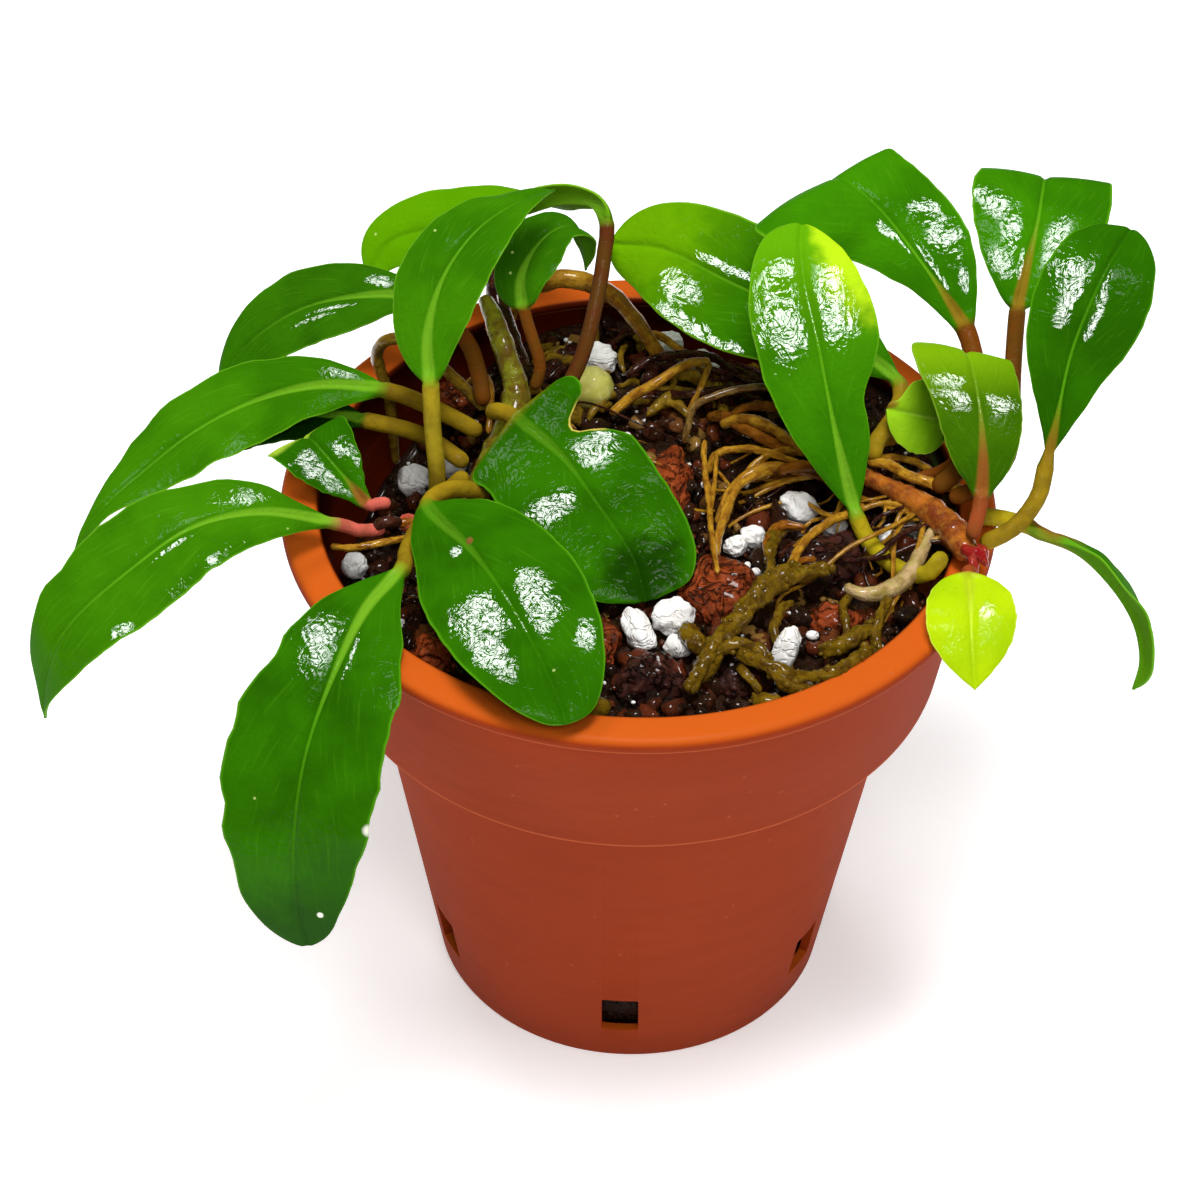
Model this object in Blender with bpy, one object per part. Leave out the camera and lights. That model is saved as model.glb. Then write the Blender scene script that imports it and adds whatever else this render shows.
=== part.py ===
# Bucephalandra in a moulded plastic nursery pot.
# All sizes below are millimetres; meshes are made in metres. +Z is up, the front faces -Y,
# and the origin is the centre of the pot's foot on the ground.

import math

import bmesh
import bpy
from mathutils import Matrix, Vector, noise

MM = 0.001
GAP = 0.35

# Pot: a tapered body, a wide collar and a rounded lip, moulded in one piece
FOOT_RADIUS = 26.4
BODY_TOP_RADIUS = 35.2
COLLAR_FOOT_RADIUS = 39.9
COLLAR_TOP_RADIUS = 43.2
LIP_RADIUS = 45.6
LIP_INNER_RADIUS = 40.6
COLLAR_Z = 53.8
LIP_UNDER_Z = 75.0
LIP_TOP_Z = 77.3
WALL = 1.3
FLOOR = 1.4
POT_SEGMENTS = 40

WINDOW_COUNT = 6
WINDOW_WIDTH = 4.9
WINDOW_HEIGHT = 7.0
WINDOW_Z = 9.7
WINDOW_OFFSET_DEG = -1.8

# Substrate bed: its usual level, and how far it sinks at the left, back left and back
BED_LEVEL = 74.0
BED_LUMP = 0.8
BED_FLOOR_GAP = 0.4
BED_SEGMENTS = 32
BED_RINGS = (0.88, 0.72, 0.54, 0.34, 0.16)
BED_DIPS = [
    # centre x, y, radius x, y, depth
    (-36.0, 6.0, 18.0, 24.0, 16.6),
    (-24.0, 30.0, 12.0, 12.0, 4.0),
    (13.0, 40.0, 10.0, 9.0, 9.0),
]

STEM_SIDES = 6
LEAF_SIDES = 8
BLADE_STEPS = 10
BLADE_HALF_THICKNESS = 0.38
TIP_HALF_WIDTH = 0.35

GREEN = (0.05, 0.27, 0.01)
DEEP_GREEN = (0.02, 0.13, 0.01)
LIGHT_GREEN = (0.22, 0.50, 0.02)
LIME = (0.50, 0.72, 0.03)
TERRACOTTA = (0.42, 0.10, 0.04)
SOIL = (0.05, 0.025, 0.015)
LAVA_RED = (0.22, 0.05, 0.025)
LAVA_DARK = (0.07, 0.03, 0.03)
PERLITE = (0.80, 0.78, 0.75)
OLIVE = (0.24, 0.20, 0.02)
GOLD = (0.45, 0.26, 0.03)
BROWN = (0.13, 0.05, 0.015)
PINK = (0.55, 0.14, 0.12)

# Leaves: "stalk" runs from the rhizome to the blade, "blade" along the midrib to the tip,
# "face" is where the upper side looks, from the base to the tip. "widest" is the place of the
# greatest width along the blade, and "ends" say how pointed its base and tip are (less is
# rounder). "fold" raises both halves, "droop" bends the edges down. Angles are degrees.
LEAVES = {
    "leaf_hanging": dict(
        stalk=[(-22, 0.2, 79.8), (-24.4, -4, 80), (-27.4, -10, 79.6), (-28.6, -15, 79.9)],
        blade=[(-28.9, -19, 80.6), (-33, -26, 79.9), (-36.4, -34.5, 77), (-39.3, -42, 71.5), (-40.7, -47, 63.5),
               (-40.8, -50, 54), (-39.5, -51, 46.6)],
        face=[(-0.1, -0.3, 0.95), (-0.15, -0.6, 0.8), (-0.1, -0.95, 0.3)],
        width=19.5, widest=0.52, ends=(0.8, 0.62), fold=5, droop=0.10),
    "leaf_left_low": dict(
        stalk=[(-31.9, -7.9, 77.4), (-35, -9.7, 78.6)],
        blade=[(-37.5, -10.2, 80), (-46.5, -13, 84), (-55, -16.5, 84.3), (-62.5, -21.5, 81.3), (-69.2, -26, 76.8),
               (-72.4, -28, 71), (-73.5, -28.5, 62.8)],
        face=[(0.1, -0.3, 1), (0, -0.3, 1), (-0.1, -0.3, 0.9), (-0.6, -0.4, 0.5)],
        width=15, widest=0.52, ends=(0.9, 0.9), fold=6, droop=0.12, stalk_radius=0.85, colour=GREEN),
    "leaf_left_middle": dict(
        stalk=[(-20.3, 7.4, 80.7), (-26, 9.3, 82.8)],
        blade=[(-32.5, 11, 84.4), (-41, 11, 85), (-49.5, 10, 83), (-57, 7, 80.3), (-63.5, 2, 77.3), (-69, -3.5, 74.6),
               (-72.6, -6, 69)],
        face=[(0, -0.4, 0.95), (0, -0.4, 0.95), (-0.3, -0.4, 0.85), (-0.5, -0.35, 0.8)],
        width=12, widest=0.43, ends=(0.9, 1.5), fold=5, droop=0.12),
    "leaf_left_under": dict(
        stalk=[(-22, 4.3, 78), (-28, 8.3, 79.4)],
        blade=[(-35.3, 10.6, 79.7), (-40, 11, 80), (-46, 10.8, 79.8), (-51, 9.4, 78.2), (-55.5, 7.4, 75.4)],
        face=[(0, -0.2, 0.98), (-0.3, -0.3, 0.85)],
        width=7.5, widest=0.45, ends=(0.9, 0.9), fold=4, droop=0.1, colour=DEEP_GREEN),
    "leaf_left_high": dict(
        stalk=[(-20.2, 11.2, 82.2), (-20.9, 14.6, 84.4), (-22.4, 18, 86.8), (-25.3, 21, 88)],
        blade=[(-28.5, 23.3, 88.7), (-33, 25.3, 88.8), (-42.4, 26.5, 86.3), (-49, 26, 82.5), (-53.5, 24, 78.5),
               (-55.6, 21.5, 75)],
        face=[(0, -0.3, 0.95), (0, -0.4, 0.9), (-0.6, -0.4, 0.7)],
        width=11.5, widest=0.48, ends=(0.7, 0.8), fold=6, droop=0.12, colour=DEEP_GREEN),
    "leaf_arching": dict(
        stalk=[(-25.6, -1.2, 77.2), (-25.6, -0.8, 81.5), (-26.1, 0.6, 86.8)],
        blade=[(-26.4, 3, 91.9), (-26.8, 7, 97.2), (-25, 11.5, 102.7), (-20.9, 16.5, 106.4), (-15.8, 22, 106.8),
               (-11.6, 26.8, 105.4)],
        face=[(-0.2, -0.9, 0.5), (-0.3, -0.75, 0.6), (-0.3, -0.3, 0.85), (-0.1, 0.25, 0.95)],
        width=11.5, widest=0.42, ends=(0.8, 1.0), fold=14, droop=0.1),
    "leaf_small_arch": dict(
        stalk=[(-13.8, 12.8, 83.7), (-13, 14, 86.6), (-14.2, 16, 90)],
        blade=[(-15.2, 18, 92.6), (-15.6, 21, 95.5), (-13.8, 24.4, 98), (-11, 26.6, 99.3), (-8.6, 27.2, 98.6),
               (-7.5, 27.2, 95.6), (-7.4, 26.8, 92.6)],
        face=[(-0.4, -0.8, 0.5), (-0.3, -0.6, 0.7), (0, 0.2, 0.9), (0.5, 0.8, 0.3)],
        width=8.5, widest=0.36, ends=(0.7, 0.9), fold=12, droop=0.1, stalk_radius=0.8, colour=DEEP_GREEN),
    "leaf_back_pale": dict(
        stalk=[(-12.9, 10.2, 81.2), (-10.4, 12.4, 83), (-8.5, 14.8, 85.2), (-7, 18, 88.3), (-5.7, 24, 92),
               (-5.2, 27.4, 94.4)],
        blade=[(-4.9, 30.4, 97), (-6.2, 33, 99), (-11, 35.2, 97.8), (-17.6, 37.4, 93.6), (-25, 38.6, 90.4),
               (-33, 39, 87.6), (-36.8, 37, 83.4)],
        face=[(0.6, 0.7, 0.3), (0.3, 0.7, 0.6), (0, -0.2, 0.95), (-0.2, -0.5, 0.85), (-0.4, -0.4, 0.8)],
        width=12, widest=0.6, ends=(0.42, 0.5), fold=5, droop=0.1, stalk_radius=1.0, colour=LIGHT_GREEN),
    "leaf_centre_pale": dict(
        stalk=[(29.6, 2.7, 81.8), (30.3, 5.5, 82.7), (32.4, 8.5, 84.2)],
        blade=[(33.2, 12.3, 86), (29.1, 15.2, 88.4), (20, 19.3, 91.8), (11, 24.6, 92.8), (2.6, 30, 93.6),
               (-4.4, 33.6, 91.6)],
        face=[(0, -0.6, 0.8), (0, -0.6, 0.8)],
        width=17.6, widest=0.58, ends=(0.8, 0.46), fold=5, droop=0.08, colour=LIGHT_GREEN),
    "leaf_upright": dict(
        stalk=[(38.3, -12.9, 79.9), (36, -15, 78.2), (33, -12.5, 76.6), (30, -9, 76.8)],
        blade=[(27.6, -6, 79.3), (24.7, -1, 88), (22, 6, 97.6), (20.2, 11, 102.8), (19.6, 15.5, 105.2),
               (19.8, 20.3, 105.4)],
        face=[(0.1, -0.8, 0.6), (0.05, -0.7, 0.7), (0.05, -0.45, 0.9)],
        width=15.8, widest=0.6, ends=(0.72, 0.5), fold=6, droop=0.06, bite=(0.38, 1, 2.0, 0.11)),
    "leaf_top_folded": dict(
        stalk=[(37.2, -3.3, 82), (40.4, -0.8, 83.6), (43, 3.5, 85.4), (43.6, 9, 87), (42.6, 14, 89)],
        blade=[(41.4, 18, 91.2), (38.3, 21.5, 94.5), (34.6, 25, 98), (30.8, 28.5, 101.2), (27.2, 31.2, 103.2),
               (25, 33, 103.4), (23.4, 34.6, 101.2)],
        face=[(-0.17, -0.58, 0.78), (-0.1, -0.5, 0.85), (-0.05, -0.2, 1), (-0.2, 0.3, 0.9)],
        width=18, fold=1, droop=0.08, stalk_radius=1.25,
        outline=[(0, 1.3, 1.3), (0.06, 1.6, 2.6), (0.15, 2.2, 4.6), (0.27, 3.2, 6.6), (0.4, 5, 7.8), (0.54, 7.6, 8.2),
                 (0.67, 10.8, 8.6), (0.79, 14.4, 9.4), (0.88, 15.6, 9.4), (0.95, 14, 7.4), (1, 9, 4)]),
    "leaf_top_right": dict(
        stalk=[(39.1, -4.6, 81.6), (43.5, -3, 82.9), (46.2, 0, 84.6), (47, 4, 86), (47.2, 10.5, 89.4)],
        blade=[(47.7, 17, 94.8), (48.4, 20, 97.4), (50.2, 26.5, 101.4), (51, 31, 103.1), (51.6, 34.8, 102.8),
               (52.2, 38, 98.6), (52.4, 39.6, 95)],
        face=[(0, -0.7, 0.7), (0, -0.6, 0.8), (0, -0.1, 0.95), (0, 0.8, 0.5)],
        width=18, widest=0.54, ends=(0.62, 0.6), fold=6, droop=0.04),
    "leaf_right_oval": dict(
        stalk=[(42.8, -11.5, 80.2), (47, -9.2, 81.2), (50, -5.5, 83)],
        blade=[(51, -2, 85), (52.1, 1.2, 89.3), (53.9, 7, 96.8), (57.4, 13.2, 103.4), (59.6, 17, 105.2),
               (61.4, 20.6, 105.6)],
        face=[(-0.05, -0.75, 0.65), (-0.05, -0.7, 0.7), (0.05, -0.4, 0.9)],
        width=14.4, widest=0.65, ends=(0.78, 0.5), fold=6, droop=0.05),
    "leaf_red_vein": dict(
        stalk=[(41.4, -12.7, 82.4), (42.1, -10.2, 83)],
        blade=[(42.7, -7.5, 84.4), (42.8, -4.5, 88.4), (42.4, 0, 92), (41.6, 5.5, 94.2), (41, 8.6, 94.4),
               (40.8, 10.8, 92.8)],
        face=[(-0.05, -0.8, 0.55), (0, -0.6, 0.8), (0.15, -0.1, 1), (0.2, 0.5, 0.8)],
        width=13, fold=5, droop=0.04, stalk_radius=0.95,
        outline=[(0, 1, 1), (0.06, 1.7, 1.7), (0.16, 3.3, 3.3), (0.3, 4.6, 4.6), (0.45, 5.4, 5.3), (0.6, 6.2, 5.5),
                 (0.74, 7.4, 5.6), (0.86, 7.6, 5.4), (0.95, 5.6, 4), (1, 2.6, 1.8)]),
    "leaf_small_bitten": dict(
        stalk=[(34.8, -0.8, 81.6), (38.6, 0.9, 82), (41.2, 3.4, 83.2)],
        blade=[(40.2, 5.6, 84.8), (36.4, 6.2, 85.9), (31.2, 6.2, 87.2)],
        face=[(0.1, -0.7, 0.7), (0.1, -0.7, 0.7)],
        width=9.6, widest=0.5, ends=(0.5, 0.5), fold=4, droop=0.1, stalk_radius=0.7,
        bite=(0.86, 1, 1.6, 0.1), colour=LIGHT_GREEN),
    "leaf_lime": dict(
        stalk=[(41.3, -15.9, 80.2), (41.1, -16.8, 80.4)],
        blade=[(40.9, -18, 80.6), (41, -22.5, 80.5), (41.1, -27.4, 78.4), (41.5, -32.3, 75)],
        face=[(0, -0.3, 0.95), (0.05, -0.6, 0.8)],
        width=11.2, widest=0.45, ends=(0.5, 0.75), fold=6, droop=0.1, stalk_radius=0.9, colour=LIME),
    "leaf_trailing_narrow": dict(
        stalk=[(41.6, -5.9, 80), (45, -5.4, 79.5)],
        blade=[(49, -6.1, 78.9), (55.3, -8.6, 77.9), (59.8, -11.6, 74.9), (63, -14, 70.4), (64, -16.8, 66.4), (63.2, -18.5, 62.6)],
        face=[(0.4, 0.3, 0.85), (0.7, 0.3, 0.6), (0.9, 0.2, 0.2)],
        width=8, widest=0.66, ends=(1.0, 0.9), fold=28, droop=0.0),
    "leaf_bitten_front": dict(
        stalk=[(-19.2, 7.9, 83.4), (-18.3, 7.1, 84.7)],
        blade=[(-16, 5.2, 85.2), (-10, 0.3, 83.3), (-5.4, -5.8, 81), (-0.6, -13.2, 78.4), (1.2, -19, 76.2)],
        face=[(0.05, -0.45, 0.85), (0.05, -0.5, 0.85), (0.05, -0.5, 0.85)],
        width=19, fold=4, droop=0.08,
        outline=[(0, 1.2, 1.2), (0.03, 8.0, 9.0), (0.12, 8.6, 9.9), (0.17, 4.4, 10.1), (0.22, 3.9, 10.3),
                 (0.27, 6.6, 10.3), (0.35, 8.8, 10.3), (0.5, 8.9, 10.3), (0.65, 8.7, 10.1),
                 (0.8, 7.8, 9), (0.92, 5.4, 6.2), (1, 0.5, 0.5)]),
    "leaf_front": dict(
        stalk=[(-19.8, -1.9, 78.2), (-21.6, -4, 81), (-24.4, -6.6, 82.8)],
        blade=[(-26.2, -10, 83.4), (-24.6, -13.6, 84), (-20.5, -18.9, 84), (-16.2, -26.3, 83.6), (-12, -35, 82.6),
               (-9, -42, 80.9), (-8, -45, 79.8)],
        face=[(-0.1, -0.45, 0.9), (0, -0.4, 0.9), (0.1, -0.3, 0.95)],
        width=19.5, widest=0.52, ends=(0.62, 0.55), fold=4, droop=0.1),
    "leaf_small_silver": dict(
        stalk=[(-31.2, -5.3, 79.5), (-32.8, -5.1, 79.2)],
        blade=[(-34.1, -4.9, 78.8), (-36.6, -2.8, 80.6), (-39.9, 0, 83), (-41.8, 2, 83.6), (-43, 3.6, 82)],
        face=[(0.1, -0.75, 0.65), (0.1, -0.6, 0.8), (-0.2, 0.2, 0.95)],
        width=11, widest=0.62, ends=(0.8, 0.7), fold=5, droop=0.05, stalk_radius=0.8),
}

# Stems and thick roots: the places that each passes through and its radius at each place
STEMS = {
    "rhizome_left": dict(
        route=[(-26, -5, 76), (-21, 0, 76), (-18, 6, 79), (-16, 12, 83), (-17.4, 16, 86.5), (-19, 20, 88.8),
               (-20.6, 24, 90)],
        radii=[1.9, 2.1, 2.2, 1.9, 1.6, 1.5, 1.0], knots=5, colour=OLIVE),
    "rhizome_right": dict(
        route=[(23, 6, 79), (26, 3.5, 79.5), (30, 0.5, 80), (34, -2.5, 80), (38, -6.5, 80), (40, -10, 79.9),
               (41.3, -13.6, 79.9)],
        radii=[0.8, 0.9, 1.1, 1.5, 1.9, 2.0, 1.6], knots=6, colour=BROWN),
    "shoot_left_pink": dict(
        route=[(-27.4, -6.6, 76.9), (-30.2, -7, 78)], radii=[1.2, 1.2], knots=0, colour=PINK),
    "stalk_dark_old": dict(
        route=[(-15.3, 18.5, 82.6), (-17.4, 23, 84.8), (-19.2, 28, 87.4), (-19, 33, 90), (-18.2, 36, 92)],
        radii=[1.1, 1.3, 1.4, 1.3, 1.0], knots=0, colour=BROWN),
    "root_arch_left": dict(
        route=[(-19.9, 12.4, 80.6), (-24, 15, 83.3), (-29, 17.6, 86.6), (-32.6, 18.4, 87), (-34.4, 19, 83.6),
               (-33, 18.8, 77), (-32.2, 18.4, 66)],
        radii=[0.8, 0.8, 0.8, 0.8, 0.8, 0.7, 0.6], knots=0, colour=OLIVE),
    "root_arch_back": dict(
        route=[(-18.5, 33, 76), (-17, 33.6, 82), (-13.4, 33, 85.4), (-9, 33, 86.2), (-4, 33, 83.5), (-0.5, 31.5, 80),
               (2.5, 29.5, 76)],
        radii=[1.0, 1.2, 1.3, 1.3, 1.2, 1.1, 0.9], knots=0, colour=GOLD),
    "root_gold_back": dict(
        route=[(-4, 17.5, 76), (-1, 19, 78), (2, 20, 79.5), (6, 23, 80.3), (9, 25, 79.3)],
        radii=[0.6, 0.7, 0.7, 0.65, 0.55], knots=0, colour=GOLD),
    "root_dark": dict(
        route=[(10.5, 28, 76.5), (14, 25, 77.5), (19, 19, 79), (23, 13, 79)],
        radii=[0.9, 1.0, 1.0, 0.8], knots=0, colour=BROWN),
    "root_grey_arch": dict(
        route=[(5.8, 11.6, 76.2), (6.1, 12.4, 78), (7, 14, 80.5), (9.5, 15, 81.5), (13, 16, 82), (17, 16, 82.2),
               (22, 12.5, 82.3), (25.5, 7.5, 81.5)],
        radii=[0.45, 0.5, 0.5, 0.5, 0.5, 0.5, 0.5, 0.5], knots=0, colour=GOLD),
    "root_gold_thick": dict(
        route=[(9, 17.5, 76), (11, 15, 78), (14, 11, 79.2), (17, 8.5, 79.3), (20.3, 6.6, 79)],
        radii=[0.7, 0.85, 0.85, 0.8, 0.7], knots=0, colour=GOLD),
    "root_gold_low": dict(
        route=[(10, -3.5, 75.4), (12, 1.5, 77.3), (15, 4, 78.4), (18, 4.6, 78.6), (20.4, 3.8, 78.4)],
        radii=[0.6, 0.7, 0.7, 0.7, 0.6], knots=0, colour=GOLD),
    "root_mossy_long": dict(
        route=[(24, -14.6, 78.6), (18, -18, 79), (13.5, -23, 78.6), (10.5, -28.5, 77.6), (8, -33.2, 76)],
        radii=[0.9, 1.1, 1.1, 1.05, 0.9], knots=0, colour=OLIVE),
    "root_mossy_short": dict(
        route=[(19.4, -5, 77), (17, -9.5, 79), (16.4, -14.3, 79.4)],
        radii=[0.8, 0.9, 0.8], knots=0, colour=OLIVE),
    "root_mossy_front": dict(
        route=[(12.4, -30, 78), (16, -32.4, 78.3), (20, -33.4, 77), (23, -31, 75.8)],
        radii=[0.8, 0.9, 0.9, 0.8], knots=0, colour=OLIVE),
    "root_mossy_right": dict(
        route=[(22.6, -27.8, 76.4), (26.3, -26.6, 77.2), (30, -21.5, 76)],
        radii=[0.9, 1.1, 0.9], knots=0, colour=OLIVE),
    "stipule_pale": dict(
        route=[(26.2, -17.4, 77.6), (28.4, -18.4, 77.2), (31, -18, 76.6), (33.4, -16.4, 75.9)],
        radii=[0.7, 1.1, 1.1, 0.8], knots=0, colour=OLIVE),
}

# Stones and grains: centre, half sizes, turn about X, Y and Z in degrees, roughness, colour
STONES = {
    "lava_round": ((10.5, -15.5, 74.0), (5.2, 5.2, 4.8), (0, 0, 0), 0.10, LAVA_RED),
    "lava_front_red": ((-5.0, -25.0, 73.8), (2.8, 4.4, 4.0), (0, 10, 10), 0.14, LAVA_RED),
    "lava_front_dark": ((2.0, -31.6, 74.0), (4.4, 3.5, 3.5), (0, 0, 10), 0.16, LAVA_DARK),
    "lava_front_plum": ((12.8, -31.2, 73.0), (3.0, 2.9, 2.8), (0, 0, 40), 0.16, LAVA_DARK),
    "lava_right_rough": ((23.4, -9.2, 73.8), (5.0, 4.2, 4.2), (0, -15, 20), 0.18, LAVA_DARK),
    "lava_right_red": ((24.8, -19.4, 73.6), (3.2, 2.7, 2.6), (0, 0, -20), 0.16, LAVA_RED),
    "lava_long_red": ((3.4, 4.6, 73.4), (3.2, 8.0, 3.6), (0, 0, -12), 0.10, LAVA_RED),
    "lava_left_red": ((-24.0, -27.0, 73.0), (3.8, 3.6, 3.5), (0, 0, 0), 0.16, LAVA_RED),
    "lava_back_orange": ((-25.0, 28.0, 69.0), (3.0, 2.9, 2.9), (0, 0, 0), 0.14, LAVA_RED),
    "perlite_centre_long": ((0.3, -24.4, 76.2), (1.8, 3.1, 1.9), (25, 0, 30), 0.10, PERLITE),
    "perlite_centre_round": ((4.6, -21.4, 76.0), (2.8, 2.3, 2.2), (0, -15, 15), 0.10, PERLITE),
    "perlite_centre_small": ((5.3, -26.2, 75.4), (1.9, 1.5, 1.5), (0, 0, 0), 0.08, PERLITE),
    "perlite_front_long": ((18.4, -27.6, 76.4), (1.6, 1.6, 3.3), (-20, 18, 0), 0.06, PERLITE),
    "perlite_right_big": ((20.4, 0.3, 75.6), (2.6, 2.1, 2.1), (0, 0, -15), 0.10, PERLITE),
    "perlite_right_small": ((25.0, -2.6, 75.4), (1.6, 1.5, 1.5), (0, 0, -20), 0.10, PERLITE),
    "perlite_back_left": ((-5.6, 30.0, 75.2), (2.4, 2.3, 2.3), (0, 0, 0), 0.10, PERLITE),
    "perlite_back_right": ((3.6, 35.0, 74.0), (2.0, 1.9, 1.9), (0, 0, 0), 0.08, PERLITE),
    "perlite_deep_large": ((-30.0, 19.2, 62.4), (2.3, 2.3, 2.3), (0, 0, 0), 0.05, PERLITE),
    "perlite_deep_small": ((-24.8, 20.6, 64.0), (2.1, 2.0, 2.0), (0, 0, 0), 0.06, PERLITE),
    "perlite_deep_front": ((-37.0, 4.6, 60.0), (1.8, 1.8, 1.8), (0, 0, 0), 0.06, PERLITE),
    "pellet_pale_green": ((-6.6, 22.2, 76.6), (3.0, 2.9, 2.9), (0, 0, 0), 0.03, LIME),
}


def clear_scene():
    for thing in list(bpy.data.objects):
        bpy.data.objects.remove(thing, do_unlink=True)


def make_material(name, colour, roughness):
    material = bpy.data.materials.new(name + "_material")
    material.use_nodes = True
    shader = material.node_tree.nodes["Principled BSDF"]
    shader.inputs["Base Color"].default_value = (*colour, 1.0)
    shader.inputs["Roughness"].default_value = roughness
    shader.inputs["Metallic"].default_value = 0.0
    return material


def add_object(name, mesh_data, material=None):
    # mesh_data is a bmesh in millimetres; the object is left in metres with its faces outward
    bmesh.ops.recalc_face_normals(mesh_data, faces=mesh_data.faces)
    bmesh.ops.scale(mesh_data, vec=(MM, MM, MM), verts=mesh_data.verts)
    mesh = bpy.data.meshes.new(name)
    mesh_data.to_mesh(mesh)
    mesh_data.free()
    mesh.shade_smooth()
    thing = bpy.data.objects.new(name, mesh)
    bpy.context.collection.objects.link(thing)
    if material:
        mesh.materials.append(material)
    return thing


def loft(sections):
    # One closed skin through rings of points: a capped circle, extruded from ring to ring
    bm = bmesh.new()
    place = bm.verts.layers.int.new("place")
    ring = bmesh.ops.create_circle(bm, cap_ends=True, segments=len(sections[0]), radius=1.0)["verts"]
    for index, vert in enumerate(ring):
        vert[place] = index
        vert.co = sections[0][index]
    edges = [edge for edge in bm.edges if edge.is_boundary]
    for section in sections[1:]:
        grown = bmesh.ops.extrude_edge_only(bm, edges=edges)["geom"]
        fresh = {item for item in grown if isinstance(item, bmesh.types.BMVert)}
        for vert in fresh:
            vert.co = section[vert[place]]
        edges = [item for item in grown if isinstance(item, bmesh.types.BMEdge) and set(item.verts) <= fresh]
    bmesh.ops.contextual_create(bm, geom=edges)
    return bm


def spin_profile(profile):
    bm = bmesh.new()
    verts = [bm.verts.new((radius, 0.0, height)) for radius, height in profile]
    edges = [bm.edges.new(pair) for pair in zip(verts, verts[1:])]
    bmesh.ops.spin(bm, geom=verts + edges, cent=(0, 0, 0), axis=(0, 0, 1), angle=math.tau,
                   steps=POT_SEGMENTS, use_merge=True)
    bmesh.ops.remove_doubles(bm, verts=bm.verts, dist=0.01)
    return bm


def smooth_route(points, steps=14):
    # A Catmull-Rom curve through the points: dense places, and the index of each given point
    spots = [Vector(p) for p in points]
    ends = [2 * spots[0] - spots[1]] + spots + [2 * spots[-1] - spots[-2]]
    dense = [spots[0]]
    marks = [0]
    for a, b, c, d in zip(ends, ends[1:], ends[2:], ends[3:]):
        for i in range(1, steps + 1):
            t = i / steps
            dense.append(0.5 * (2 * b + (c - a) * t + (2 * a - 5 * b + 4 * c - d) * t * t
                                + (3 * b - a - 3 * c + d) * t ** 3))
        marks.append(len(dense) - 1)
    return dense, marks


def route_lengths(dense):
    lengths = [0.0]
    for a, b in zip(dense, dense[1:]):
        lengths.append(lengths[-1] + (b - a).length)
    return lengths


def place_at(dense, lengths, distance):
    for i in range(1, len(dense)):
        if distance <= lengths[i] or i == len(dense) - 1:
            share = (distance - lengths[i - 1]) / max(lengths[i] - lengths[i - 1], 1e-9)
            return dense[i - 1].lerp(dense[i], share), (dense[i] - dense[i - 1]).normalized()


def blend_list(values, share):
    # A value between the entries of a list, for share 0 to 1
    spot = share * (len(values) - 1)
    index = min(int(spot), len(values) - 2)
    low, high = values[index], values[index + 1]
    if isinstance(low, Vector):
        return low.lerp(high, spot - index)
    return low + (high - low) * (spot - index)


def across(tangent, face):
    return tangent.cross(face).normalized()


def half_widths(leaf, share):
    # Widths to the left and right of the midrib, seen from above with the tip ahead
    if "outline" in leaf:
        for (s0, l0, r0), (s1, l1, r1) in zip(leaf["outline"], leaf["outline"][1:]):
            if share <= s1:
                t = (share - s0) / (s1 - s0)
                return l0 + (l1 - l0) * t, r0 + (r1 - r0) * t
    power = math.log(0.5) / math.log(leaf["widest"])
    base, tip = leaf["ends"]
    swell = math.sin(math.pi * min(share, 0.9999) ** power)
    half = leaf["width"] / 2 * max(swell, 0.0) ** (base + (tip - base) * share)
    widths = [half, half]
    if "bite" in leaf:
        where, side, depth, reach = leaf["bite"]
        away = (share - where) / reach
        widths[side] -= depth * math.exp(-away * away)
    return widths


def leaf_stations(leaf):
    if "outline" in leaf:
        return [row[0] for row in leaf["outline"]]
    return [(1 - math.cos(math.pi * i / BLADE_STEPS)) / 2 for i in range(BLADE_STEPS + 1)]


def leaf_section(centre, side, normal, widths, half_thickness, leaf, open_share):
    # A flat lens: round where it leaves the stalk, thin at the edges of the blade
    ring = []
    for k in range(LEAF_SIDES):
        angle = math.tau * k / LEAF_SIDES
        u = math.cos(angle)
        width = widths[1] if u > 0 else widths[0]
        rise = abs(u) * width * math.tan(math.radians(leaf["fold"])) - leaf["droop"] * u * u * width
        ring.append(centre + side * (u * width) + normal * (rise * open_share + math.sin(angle) * half_thickness))
    return ring


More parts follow.
